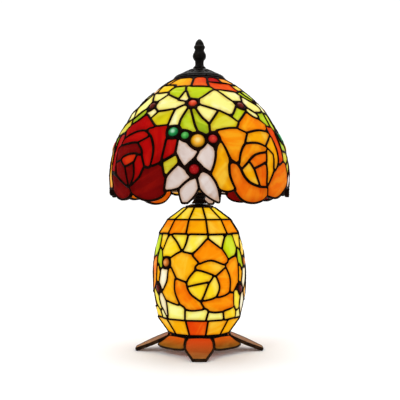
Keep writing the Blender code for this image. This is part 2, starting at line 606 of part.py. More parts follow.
def shade():
    """Glass panels in a lattice of cames. The shade's own front is the middle of a white flower."""
    axis = axis_empty("shade_axis", turn=SHADE_TURN)
    crown_height = CAP_PLATE_TOP - SHADE_HANG
    wall = shade_wall(crown_height)
    half = CAME_WIDTH / 2
    edge = half + GAP
    quarter = math.tau / SHADE_ROSES
    crown, daisies = CROWN_BAND, CROWN_BAND + DAISY_BAND
    rim = wall.length - 16 * MM  # the plain lower edge, which the scallops hang below
    per_quarter = 24
    step = quarter / per_quarter

    def lower(angle):
        return rim + scallop(angle)

    def glass_lower(angle):
        return lower(angle) - CAME_WIDTH - 2 * GAP  # wider, as the edge slopes between its points

    def between(start, end):
        """Columns of a grid that every piece shares, clear of the two uprights at start and end."""
        columns = []
        for n in range(math.ceil(start / step + 0.6), math.floor(end / step - 0.6) + 1):
            at_rib = n % per_quarter == 0  # a daisy upright ends above here, and its two edges are columns
            columns += [(n * step, -half), (n * step, half)] if at_rib else [(n * step, 0)]
        return columns

    def spread(start, end, offset):
        return [(start, offset), *between(start, end), (end, -offset)]

    around = [(n * quarter / 8, 0) for n in range(8 * SHADE_ROSES)]
    wall_solid("crown_glass", wall, around, wall.rows(0, crown - edge, 0.02), 0, GLASS, ORANGE, closed=True, parent=axis)
    straight = rim - 2.5 * CAME_WIDTH  # the last level row above the scalloped edge
    below = wall.rows(daisies + edge, straight, 0.03)
    for k in range(SHADE_ROSES):
        rose = (k + 0.5) * quarter  # middle of this rose
        wall_solid(f"shade_daisy_glass_{k + 1}", wall, spread(rose - quarter / 2, rose + quarter / 2, edge),
                   wall.rows(crown + edge, daisies - edge, 0.03), 0, GLASS, CREAM, parent=axis)
        wall_solid(f"shade_rose_glass_{k + 1}", wall, spread(rose - ROSE_HALF, rose + ROSE_HALF, edge),
                   [*below, glass_lower], 0, GLASS, (ORANGE, RED)[k % 2], parent=axis)
        wall_solid(f"shade_flower_glass_{k + 1}", wall, spread(rose + ROSE_HALF, rose + quarter - ROSE_HALF, edge),
                   [*below, glass_lower], 0, GLASS, WHITE, parent=axis)

    # the lattice: two rings, the scalloped lower edge, and uprights between the panels
    columns, daisy_ribs, rose_ribs = [], set(), set()
    for k in range(SHADE_ROSES):
        stops = [k * quarter, (k + 0.5) * quarter - ROSE_HALF, (k + 0.5) * quarter + ROSE_HALF, (k + 1) * quarter]
        for n in range(3):
            (daisy_ribs if n == 0 else rose_ribs).add(len(columns))
            columns += [(stops[n], -half), (stops[n], half)]
            columns += between(stops[n], stops[n + 1])
    upper_rows = wall.rows(crown + half, daisies - half, 0.03)
    lower_rows = wall.rows(daisies + half, straight, 0.03)
    rows = [crown - half, *upper_rows, *lower_rows, lambda a: lower(a) - CAME_WIDTH, lower]
    first_ring, second_ring, last = 0, len(upper_rows), len(rows) - 2

    def lattice(i, j):
        if j in (first_ring, second_ring, last):
            return True
        return i in (daisy_ribs if j < second_ring else rose_ribs)

    wall_solid("shade_cames", wall, columns, rows, CAME_PROUD, GLASS + CAME_PROUD, LEAD, lattice, True, axis)

    at, normal = wall.section(0)
    inner = at - normal * GLASS
    washer("crown_ring", inner.x - 2.6 * MM, inner.x - 0.6 * MM, inner.y - 3 * MM, inner.y + 3 * MM, BRASS, 32)
    return crown_height


def shade_cap(crown_height):
    """The pierced cap soldered on the crown, whose middle plate sits on the harp."""
    rim_radius = SHADE_CROWN_RADIUS + 3.6 * MM
    rim_height = crown_height - 1.6 * MM + CAME_PROUD
    flat = 8 * MM
    fall = CAP_PLATE_TOP - rim_height
    shares = ((0.5, 0.28), (0.84, 0.55), (0.975, 0.78), (1, 1))
    outline = [(STUD_HOLE, CAP_PLATE_TOP), (flat, CAP_PLATE_TOP)]
    outline += [(flat + (rim_radius - flat) * r, CAP_PLATE_TOP - fall * h) for r, h in shares]
    wall = Wall(outline)
    per_vent = 4
    columns = [(math.tau * n / (CAP_VENTS * per_vent), 0) for n in range(CAP_VENTS * per_vent)]
    vent_start = wall.marks[1] + 1.5 * MM
    vent_end = wall.marks[2] + 1.5 * MM
    rows = [0, wall.marks[1], vent_start, wall.marks[2], vent_end, *wall.marks[3:]]
    wall_solid("shade_cap", wall, columns, rows, 0, CAP_WALL, BRONZE, closed=True,
               solid=lambda i, j: not (j in (2, 3) and i % per_vent in (1, 2)))


def finial():
    washer("shade_rest", STUD_HOLE, 7.4 * MM, REST_LOW, REST_LOW + REST_THICK, BRASS)
    washer("finial_washer", STUD_HOLE, 7.4 * MM, FINIAL_WASHER_LOW, FINIAL_WASHER_LOW + WASHER_THICK, BRASS)
    # radius in mm and share of the height: flared foot, stem, lower bud, waist, upper bud, tip
    shape = ((7.2, 0), (7.0, 0.03), (5.2, 0.1), (5.1, 0.27), (5.5, 0.3), (7.2, 0.34), (8.1, 0.4), (7.9, 0.46),
             (6.3, 0.58), (5.4, 0.645), (6.7, 0.72), (6.4, 0.75), (4.4, 0.86), (2.6, 0.95), (1.2, 0.99))
    bore_top = STUD_LOW + STUD_LENGTH + 1 * MM + 1.5 * MM - FINIAL_LOW
    profile = [(0, bore_top), (STUD_HOLE, bore_top), (STUD_HOLE, 0)]
    profile += [(r * MM, h * FINIAL_HEIGHT) for r, h in shape] + [(0, FINIAL_HEIGHT)]
    turned("finial", profile, BRONZE, (0, 0, FINIAL_LOW), 20)


def main():
    base()
    rod_and_nuts()
    lower_lamp()
    body()
    neck()
    harp()
    upper_lamp()
    shade_cap(shade())
    finial()


main()
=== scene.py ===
import math
import random

import bmesh
import bpy
import numpy as np
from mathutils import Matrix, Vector
from mathutils.geometry import delaunay_2d_cdt


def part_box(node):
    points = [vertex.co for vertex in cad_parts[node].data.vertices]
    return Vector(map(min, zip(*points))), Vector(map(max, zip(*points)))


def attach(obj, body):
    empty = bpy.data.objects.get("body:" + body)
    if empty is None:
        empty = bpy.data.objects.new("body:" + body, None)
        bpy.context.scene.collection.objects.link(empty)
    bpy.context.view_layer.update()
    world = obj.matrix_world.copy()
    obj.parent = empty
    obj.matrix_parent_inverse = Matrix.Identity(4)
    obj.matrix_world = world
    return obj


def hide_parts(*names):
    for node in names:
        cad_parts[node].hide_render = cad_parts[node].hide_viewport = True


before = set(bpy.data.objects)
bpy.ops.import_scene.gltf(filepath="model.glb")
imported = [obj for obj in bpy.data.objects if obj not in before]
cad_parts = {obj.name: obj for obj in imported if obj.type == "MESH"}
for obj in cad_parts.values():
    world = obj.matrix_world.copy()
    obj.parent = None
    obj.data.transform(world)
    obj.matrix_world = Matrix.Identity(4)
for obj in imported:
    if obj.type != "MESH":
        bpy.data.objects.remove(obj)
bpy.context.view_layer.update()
mm = 0.001
white = (1, 1, 1, 1)
collection = bpy.context.scene.collection
rng = random.Random(11)


def addNode(tree, kind, at=(0, 0), **values):
    node = tree.nodes.new(kind)
    node.location = at
    for name, value in values.items():
        setattr(node, name, value)
    return node


def connect(tree, socket, value):
    # links another socket to this one, or sets a plain value
    if isinstance(value, bpy.types.NodeSocket):
        tree.links.new(value, socket)
    else:
        socket.default_value = value


def feed(tree, node, **values):
    # connects a node's inputs by name, with _ for a space
    for name, value in values.items():
        connect(tree, node.inputs[name.replace("_", " ")], value)
    return node


def newGroup(name, inputs, outputs):
    # inputs by name with their usual values, then outputs by name with their kinds
    group = bpy.data.node_groups.new(name, "ShaderNodeTree")
    for label, value in inputs.items():
        kind = "Float" if isinstance(value, float) else "Color" if len(value) == 4 else "Vector"
        socket = group.interface.new_socket(label, in_out="INPUT", socket_type="NodeSocket" + kind)
        socket.default_value = value
    for label, kind in outputs.items():
        group.interface.new_socket(label, in_out="OUTPUT", socket_type="NodeSocket" + kind)
    given = addNode(group, "NodeGroupInput", (-1100, 0))
    return group, given.outputs, addNode(group, "NodeGroupOutput", (900, 0))


def placeGroup(tree, group, at, **values):
    return feed(tree, addNode(tree, "ShaderNodeGroup", at, node_tree=group), **values)


def mixColours(tree, factor, first, second, at=(0, 0), blend="MIX"):
    node = addNode(tree, "ShaderNodeMix", at, data_type="RGBA", blend_type=blend)
    for number, value in ((0, factor), (6, first), (7, second)):  # the mix node's colour sockets
        connect(tree, node.inputs[number], value)
    return node.outputs[2]


def maths(tree, operation, first, second, at=(0, 0), clamp=False):
    node = addNode(tree, "ShaderNodeMath", at, operation=operation, use_clamp=clamp)
    for socket, value in zip(node.inputs, (first, second)):
        connect(tree, socket, value)
    return node.outputs[0]


def easeBetween(tree, value, low, high, at, **ends):
    # eases from 0 at low to 1 at high, or between the ends given
    ramp = addNode(tree, "ShaderNodeMapRange", at, interpolation_type="SMOOTHSTEP")
    return feed(tree, ramp, Value=value, From_Min=low, From_Max=high, **ends).outputs["Result"]


def noiseMask(tree, vector, scale, low, high, at, detail, distortion=0.0):
    noise = addNode(tree, "ShaderNodeTexNoise", at)
    feed(tree, noise, Vector=vector, Scale=scale, Detail=detail, Distortion=distortion)
    return easeBetween(tree, noise.outputs["Fac"], low, high, (at[0] + 180, at[1]))


def storedValue(tree, name, at, output="Fac"):
    return addNode(tree, "ShaderNodeAttribute", at, attribute_name=name).outputs[output]


def ownPlace(tree):
    return addNode(tree, "ShaderNodeTexCoord", (-1100, -300)).outputs["Object"]


def rgb(code):
    parts = [int(code[n:n + 2], 16) / 255 for n in (0, 2, 4)]
    return tuple(p / 12.92 if p <= 0.04045 else ((p + 0.055) / 1.055) ** 2.4 for p in parts) + (1.0,)


def makeStreaks():
    # streaky opalescent glass: long wisps of a second colour, cloudy patches of a third, a rippled face,
    # and a painted highlight in a jewel's middle where Core is above nought
    group, given, out = newGroup("streakyGlass", {
        "Base": white, "Streak": white, "Cloud": white, "Streak Amount": 0.5, "Cloud Amount": 0.5,
        "Scale": 60.0, "Core": 0.0}, {"Colour": "Color", "Ripple": "Float", "Edge": "Float"})
    grain = storedValue(group, "paneGrain", (-1100, -300), "Vector")
    stretch = addNode(group, "ShaderNodeMapping", (-900, -300))
    along = feed(group, stretch, Vector=grain, Scale=(0.28, 1.0, 1.0)).outputs["Vector"]
    wisps = noiseMask(group, along, given["Scale"], 0.42, 0.66, (-650, 100), 4, 0.9)
    wisps = maths(group, "MULTIPLY", wisps, given["Streak Amount"], (-250, 100))
    cloudScale = maths(group, "MULTIPLY", given["Scale"], 0.45, (-900, -100))
    clouds = noiseMask(group, grain, cloudScale, 0.45, 0.7, (-650, -150), 2, 0.4)
    clouds = maths(group, "MULTIPLY", clouds, given["Cloud Amount"], (-250, -150))
    cloudy = mixColours(group, clouds, given["Base"], given["Cloud"], (0, -50))
    colour = mixColours(group, wisps, cloudy, given["Streak"], (200, 50))
    edge = storedValue(group, "paneDepth", (-400, -650))
    # painted highlight: the middle of a jewel mixed towards its pale streak colour
    glintMask = easeBetween(group, edge, 0.4, 1.0, (-100, -650))
    glintShare = maths(group, "MULTIPLY", glintMask, given["Core"], (100, -650))
    ripple = noiseMask(group, along, 130.0, 0.3, 0.75, (-650, -400), 2, 1.2)
    colour = mixColours(group, glintShare, colour, given["Streak"], (400, 50))
    feed(group, out, Colour=colour, Ripple=ripple, Edge=edge)
    return group


def makeLampLight():
    # how brightly the bulb behind it lights a pane: by the distance from the bulb, dimmer along the leading
    group, given, out = newGroup("lampLight", {
        "Colour": white, "Edge": 1.0, "Bulb": (0.0, 0.0, 0.25), "Reach": 0.11, "Far": 0.55, "Near": 1.1,
        "Rim": (0.7, 0.5, 0.35, 1)}, {"Colour": "Color"})
    away = addNode(group, "ShaderNodeVectorMath", (-900, -300), operation="DISTANCE")
    connect(group, away.inputs[0], ownPlace(group))
    connect(group, away.inputs[1], given["Bulb"])
    share = maths(group, "DIVIDE", away.outputs["Value"], given["Reach"], (-700, -300))
    fall = easeBetween(group, share, 0.45, 1.25, (-500, -300), To_Min=given["Near"], To_Max=given["Far"])
    # painted shade: the pane's glow darkened towards its leading
    rim = mixColours(group, given["Edge"], given["Rim"], white, (-500, -600))
    warm = mixColours(group, 1.0, given["Colour"], rim, (-250, 0), "MULTIPLY")
    lit = feed(group, addNode(group, "ShaderNodeVectorMath", (0, 0), operation="SCALE"), Scale=fall)
    connect(group, lit.inputs[0], warm)
    feed(group, out, Colour=lit.outputs[0])
    return group


def makePatina():
    # dark metal: mottled colour, worn brighter patches, uneven shine and a hand-worked surface
    group, given, out = newGroup("patina", {
        "Base": (0.03, 0.02, 0.015, 1), "Worn": (0.15, 0.09, 0.05, 1), "Wear": 0.4, "Scale": 90.0,
        "Smooth": 0.3, "Rough": 0.55}, {"Colour": "Color", "Roughness": "Float", "Height": "Float"})
    place = ownPlace(group)
    mottle = noiseMask(group, place, given["Scale"], 0.35, 0.7, (-700, 100), 5)
    fineScale = maths(group, "MULTIPLY", given["Scale"], 6.0, (-900, -200))
    fine = noiseMask(group, place, fineScale, 0.3, 0.8, (-700, -200), 3)
    worn = maths(group, "MULTIPLY", mottle, given["Wear"], (-300, 100))
    rough = addNode(group, "ShaderNodeMapRange", (0, -150))
    feed(group, rough, Value=fine, To_Min=given["Smooth"], To_Max=given["Rough"])
    height = maths(group, "ADD", maths(group, "MULTIPLY", fine, 0.3, (-300, -350)), mottle, (0, -350))
    feed(group, out, Colour=mixColours(group, worn, given["Base"], given["Worn"], (0, 100)),
         Roughness=rough.outputs["Result"], Height=height)
    return group


def makePetalGlow():
    # lamplight that leaks on the roots of the petals and fades down them
    group, given, out = newGroup("petalGlow", {"Low": 0.0, "High": 1.0}, {"Mask": "Float"})
    down = storedValue(group, "petalDown", (-900, 0))
    feed(group, out, Mask=easeBetween(group, down, given["High"], given["Low"], (-500, 0)))
    return group


print("glass and metals")
streakyGlass = makeStreaks()
lampLight = makeLampLight()
patina = makePatina()
petalGlow = makePetalGlow()


def newMaterial(name):
    made = bpy.data.materials.new(name)
    made.use_nodes = True
    return made, made.node_tree, made.node_tree.nodes["Principled BSDF"]


def addBump(tree, shader, height, strength, distance):
    bump = addNode(tree, "ShaderNodeBump", (-250, -400))
    feed(tree, bump, Strength=strength, Distance=distance, Height=height)
    feed(tree, shader, Normal=bump.outputs["Normal"])


def tint(base, streak, cloud, streaks, clouds, glow, glint=0.0):
    # a glass's colours, how much streak and cloud it has, how strongly it glows, and the painted highlight in
    # a jewel's middle
    colours = dict(Base=rgb(base), Streak=rgb(streak), Cloud=rgb(cloud), Streak_Amount=streaks,
                   Cloud_Amount=clouds, Core=glint)
    return dict(colours=colours, glow=glow, glint=glint)


glassLooks = {
    "cream": tint("FBF78E", "FFFFDC", "F2EC5A", 0.6, 0.55, 1.0),
    "butter": tint("FDF87C", "FFFFB4", "F4EC50", 0.5, 0.55, 1.0),
    "lime": tint("CBE010", "E9F450", "9CB818", 0.5, 0.6, 0.97),
    "green": tint("B2CC1A", "DCEE34", "7FA01C", 0.5, 0.6, 0.95),
    "olive": tint("E0D216", "F2EE5A", "B8AC08", 0.5, 0.55, 0.96),
    "yellow": tint("FCD81C", "FFF070", "F8B008", 0.5, 0.6, 1.0),
    "amber": tint("FCB006", "FFDC48", "F68404", 0.5, 0.55, 1.0),
    "orange": tint("FC8E04", "FFBC20", "F45E04", 0.55, 0.55, 1.0),
    "flame": tint("EE4C08", "FA7C14", "DC2E06", 0.5, 0.5, 1.0),
    "scarlet": tint("D2220A", "EE4C14", "A40A06", 0.45, 0.5, 0.95),
    "crimson": tint("B80606", "DA1E0C", "840404", 0.4, 0.5, 0.95),
    "darkRed": tint("7C0606", "A81408", "4C0202", 0.4, 0.5, 0.9),
    "tangerine": tint("F67006", "FFA01C", "E24A04", 0.5, 0.5, 1.0),
    "lemon": tint("FCE840", "FFF9A0", "F6D214", 0.5, 0.5, 1.0),
    "ivory": tint("FAF0C4", "FFFFF0", "ECD6A4", 0.5, 0.5, 1.0),
    "lilac": tint("E8D6CE", "F8EEE8", "CEB6AC", 0.6, 0.55, 0.95),
    "jewelOrange": tint("D0701A", "FFC078", "9C4408", 0.25, 0.35, 0.95, 0.6),
    "jewelEmerald": tint("189048", "C4FCD8", "06602E", 0.2, 0.4, 0.95, 0.75),
    "jewelGreen": tint("1A9830", "90EC80", "065A20", 0.2, 0.4, 0.95, 0.5),
    "jewelAmber": tint("F0A810", "FFEE9A", "C07808", 0.3, 0.35, 1.0, 0.8),
    "jewelRed": tint("B81414", "FF6040", "700606", 0.25, 0.35, 0.95, 0.45),
    "jewelDark": tint("641A12", "9C3A22", "360806", 0.25, 0.35, 0.9, 0.4),
    "jewelBright": tint("DC3A1C", "FF8850", "A81408", 0.25, 0.35, 0.95, 0.5),
    "ruby": tint("A8060C", "D82828", "540408", 0.25, 0.35, 0.9, 0.5),
}
# how much painted shade a pane or a jewel takes at its rim, how quickly it clears from there, and how its
# face shines
faceLooks = {
    "pane": dict(rim=(0.74, 0.56, 0.42, 1), clears=1.0, roughness=0.2, shine=0.005),
    "jewel": dict(rim=(0.16, 0.15, 0.14, 1), clears=2.6, roughness=0.06, shine=0.06),
}
# where each bulb is and how its light falls off, in metres
upperLamp = dict(Bulb=(0.0, 0.0, 0.25), Reach=0.11, Near=1.02, Far=0.86)
lowerLamp = dict(Bulb=(0.0, 0.01, 0.1), Reach=0.09, Near=1.02, Far=0.9)


def glassMaterial(name, look, lamp):
    made, tree, shader = newMaterial(name)
    face = faceLooks["jewel" if look["glint"] else "pane"]
    streaks = placeGroup(tree, streakyGlass, (-700, 100), Scale=75.0, **look["colours"])
    edge = maths(tree, "MULTIPLY", streaks.outputs["Edge"], face["clears"], (-600, -350), True)
    lit = placeGroup(tree, lampLight, (-450, -100), Colour=streaks.outputs["Colour"], Edge=edge,
                     Rim=face["rim"], **lamp)
    # nearly all the colour comes from the light behind it
    shade = mixColours(tree, 0.96, streaks.outputs["Colour"], (0.001, 0.001, 0.001, 1), (-250, 200))
    feed(tree, shader, Base_Color=shade, Emission_Color=lit.outputs["Colour"], Emission_Strength=look["glow"],
         Roughness=face["roughness"], Specular_IOR_Level=face["shine"])
    addBump(tree, shader, streaks.outputs["Ripple"], 0.35, 0.0006)
    return made


def metalMaterial(name, base, worn, wear, scale, smooth, rough, metallic=1.0, bump=0.25, shine=0.5):
    made, tree, shader = newMaterial(name)
    look = placeGroup(tree, patina, (-500, 0), Base=rgb(base), Worn=rgb(worn), Wear=wear, Scale=scale,
                      Smooth=smooth, Rough=rough).outputs
    feed(tree, shader, Base_Color=look["Colour"], Roughness=look["Roughness"], Metallic=metallic,
         Specular_IOR_Level=shine)
    addBump(tree, shader, look["Height"], bump, 0.0003)
    return made


def bulbMaterial(name):
    made, tree, shader = newMaterial(name)
    cloud = noiseMask(tree, ownPlace(tree), 60.0, 0.3, 0.7, (-700, 0), 2)
    colour = mixColours(tree, cloud, rgb("FFE2A0"), rgb("FFF2D0"), (-250, 0))
    feed(tree, shader, Base_Color=colour, Emission_Color=colour, Emission_Strength=0.95, Roughness=0.25)
    return made


# base colour and worn colour of each metal, with its wear and grain
metalLooks = {
    "leadPatina": dict(base="0A0402", worn="24100A", wear=0.6, scale=160, smooth=0.3, rough=0.55,
                       metallic=0.0, shine=0.01),
    # painted light: the lead patina made lighter and browner on the petal rims, where they catch the glow
    "litPetalPatina": dict(base="1C1008", worn="46301C", wear=0.6, scale=160, smooth=0.35, rough=0.6,
                        metallic=0.0, shine=0.02),
    "bronzePatina": dict(base="060403", worn="1E140E", wear=0.5, scale=220, smooth=0.3, rough=0.5,
                         metallic=0.0, shine=0.06),
    "agedBrass": dict(base="8A6A34", worn="C8A460", wear=0.6, scale=140, smooth=0.22, rough=0.4),
    "zincSteel": dict(base="8C8C88", worn="C4C4BE", wear=0.5, scale=120, smooth=0.3, rough=0.5),
    "blackPhenolic": dict(base="0C0C0C", worn="1C1A18", wear=0.5, scale=260, smooth=0.35, rough=0.55,
                          metallic=0.0, bump=0.1),
}
metals = {name: metalMaterial(name, **look) for name, look in metalLooks.items()}


def meshPiece(name, bm, materials):
    bmesh.ops.recalc_face_normals(bm, faces=bm.faces)
    mesh = bpy.data.meshes.new(name)
    bm.to_mesh(mesh)
    bm.free()
    for material in materials:
        mesh.materials.append(material)
    piece = bpy.data.objects.new(name, mesh)
    collection.objects.link(piece)
    return piece


def mount(piece, body, nodes=()):
    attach(piece, body)
    if nodes:
        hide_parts(*nodes)


def curveAt(a, b, c, d, t):
    # a smooth curve from b to c, between neighbours a and d
    return 0.5 * (2 * b + (c - a) * t + (2 * a - 5 * b + 4 * c - d) * t * t
                  + (3 * b - a - 3 * c + d) * t ** 3)


def neighbours(points, k):
    # the two ends of a stretch, with the points before and after it
    return points[max(k - 1, 0)], points[k], points[k + 1], points[min(k + 2, len(points) - 1)]


class Wall:
    # a wall turned about Z: outline points (radius, height) in mm from the top down, curved but for the
    # straight stretches named by number. A many-sided wall has its corners counted from corner, in degrees
    # from the front.
    def __init__(self, outline, start=0.0, straight=(), sides=0, corner=0.0, roundness=None):
        points = [np.array(p, float) for p in outline]
        fine = []
        for k in range(len(points) - 1):
            a, b, c, d = neighbours(points, k)
            if k - 1 in straight:
                a = 2 * b - c
            if k + 1 in straight:
                d = 2 * c - b
            for t in np.linspace(0, 1, 12, endpoint=False):
                fine.append(b + (c - b) * t if k in straight else curveAt(a, b, c, d, t))
        fine.append(points[-1])
        self.line = np.array(fine)
        self.downs = np.concatenate([[0], np.cumsum(np.hypot(*np.diff(self.line, axis=0).T))]) + start
        self.sides, self.corner, self.roundness = sides, corner, roundness

    def radius(self, down):
        return np.interp(down, self.downs, self.line[:, 0])

    def height(self, down):
        return np.interp(down, self.downs, self.line[:, 1])

    def point(self, degrees, down, out=0.0):
        # a place on the wall, or out from it along its normal
        inside = float(np.clip(down, self.downs[0] + 0.1, self.downs[-1] - 0.1))
        before, after = (float(np.clip(inside + d, self.downs[0], self.downs[-1])) for d in (-1.5, 1.5))
        dr = float(self.radius(after) - self.radius(before))
        dz = float(self.height(after) - self.height(before))
        size = math.hypot(dr, dz)
        r = float(self.radius(down)) + out * -dz / size
        z = float(self.height(down)) + out * dr / size
        if self.sides:
            half = 180 / self.sides
            across = math.radians((degrees - self.corner) % (2 * half) - half)
            flat = math.cos(math.radians(half)) / math.cos(across)
            r *= flat + (1 - flat) * (self.roundness(down) if self.roundness else 0.0)
        angle = math.radians(degrees)
        return Vector((r * math.sin(angle), -r * math.cos(angle), z)) * mm


def turnAt(outline, n, size):
    # how sharply an outline turns at a point, in degrees
    before, at, after = outline[n - 1], outline[n], outline[(n + 1) % len(outline)]
    a = math.atan2(at[1] - before[1], (at[0] - before[0]) * size)
    b = math.atan2(after[1] - at[1], (after[0] - at[0]) * size)
    return abs(math.degrees((b - a + math.pi) % math.tau - math.pi))


def soften(outline, size, rounds=2, cut=0.22, keep=62):
    # rounds a drawn outline off, but for the corners sharper than keep; size is mm to a degree
    corners = {n for n in range(len(outline)) if turnAt(outline, n, size) > keep}
    for _ in range(rounds):
        made, kept = [], set()
        for n, (a, b) in enumerate(outline):
            if n in corners:
                kept.add(len(made))
                made.append((a, b))
                continue
            for other in (outline[n - 1], outline[(n + 1) % len(outline)]):
                made.append((a + (other[0] - a) * cut, b + (other[1] - b) * cut))
        outline, corners = made, kept
    return outline


def distanceTo(outline, degrees, downs, radii):
    # distance in mm from each place to the outline, negative inside it
    x = np.radians(degrees)[None, :] * radii[:, None]
    y = downs[:, None] + 0 * x
    best = np.full(x.shape, 1e9)
    inside = np.zeros(x.shape, bool)
    for (a0, b0), (a1, b1) in zip(outline, outline[1:] + outline[:1]):
        ax = math.radians(a0) * radii[:, None]
        dx = math.radians(a1 - a0) * radii[:, None]
        dy = b1 - b0
        t = np.clip(((x - ax) * dx + (y - b0) * dy) / (dx * dx + dy * dy + 1e-9), 0, 1)
        best = np.minimum(best, (x - ax - t * dx) ** 2 + (y - b0 - t * dy) ** 2)
        if dy:
            inside ^= ((b0 > y) != (b1 > y)) & (x < ax + (y - b0) * dx / dy)
    return np.where(inside, -np.sqrt(best), np.sqrt(best))


def longestLoop(field, xs, ys):
    # the longest closed line along which the field passes from negative to positive
    positive = field > 0
    links, places = {}, {}

    def crossing(p, q):
        key = (min(p, q), max(p, q))
        if key not in places:
            (j0, i0), (j1, i1) = key
            t = field[j0, i0] / (field[j0, i0] - field[j1, i1])
            places[key] = (xs[i0] + (xs[i1] - xs[i0]) * t, ys[j0] + (ys[j1] - ys[j0]) * t)
        return key

    count = positive[:-1, :-1].astype(int) + positive[1:, :-1] + positive[:-1, 1:] + positive[1:, 1:]
    for j, i in zip(*np.nonzero((count > 0) & (count < 4))):
        corners = [(j, i), (j, i + 1), (j + 1, i + 1), (j + 1, i)]
        found = [(crossing(p, q), bool(positive[p])) for p, q in zip(corners, corners[1:] + corners[:1])
                 if positive[p] != positive[q]]
        leaving, entering = ([key for key, leaves in found if leaves == way] for way in (True, False))
        links.update(zip(leaving, entering))
    best = []
    while links:
        first, key = links.popitem()
        loop = [places[first]]
        while key in links:
            loop.append(places[key])
            key = links.pop(key)
        best = max(best, loop, key=len)
    return best


def thinned(loop, radius, tolerance):
    # keeps the points that a straight stretch can't replace
    pts = np.array([(math.radians(x) * radius, y) for x, y in loop])
    count = len(pts)
    longest = 5  # mm
    far = int(np.argmax(((pts - pts[0]) ** 2).sum(1)))
    keep, stack = {0, far}, [(0, far), (far, count)]
    while stack:
        a, b = stack.pop()
        if b - a < 2:
            continue
        start, line = pts[a], pts[b % count] - pts[a]
        size = math.hypot(*line) + 1e-9
        off = np.abs((pts[a + 1:b, 0] - start[0]) * line[1] - (pts[a + 1:b, 1] - start[1]) * line[0]) / size
        split = 0
        if off.max() > tolerance:
            split = a + 1 + int(np.argmax(off))
        elif size > longest and b - a > 4:
            split = (a + b) // 2
        if split:
            keep.add(split)
            stack += [(a, split), (split, b)]
    return [loop[k] for k in sorted(keep)]


def innerPoints(flat, pitch, size):
    # an even scatter of points inside a flat outline, with each one's distance to the outline
    reach = int(size / pitch) + 1
    after = np.roll(flat, -1, axis=0)
    d = after - flat
    points, depth = [], []
    for i in range(-reach, reach + 1):
        for j in range(-reach, reach + 1):
            p = np.array([(i + 0.5 * (j % 2)) * pitch, j * pitch * 0.87])
            t = np.clip(((p - flat) * d).sum(1) / ((d * d).sum(1) + 1e-9), 0, 1)
            gap = np.sqrt((((flat + d * t[:, None]) - p) ** 2).sum(1)).min()
            crossing = (flat[:, 1] > p[1]) != (after[:, 1] > p[1])
            xs = flat[:, 0] + (p[1] - flat[:, 1]) * d[:, 0] / np.where(d[:, 1] == 0, 1e-9, d[:, 1])
            if (crossing & (p[0] < xs)).sum() % 2 and gap > pitch * 0.42:
                points.append(tuple(p))
                depth.append(float(gap))
    return points, depth


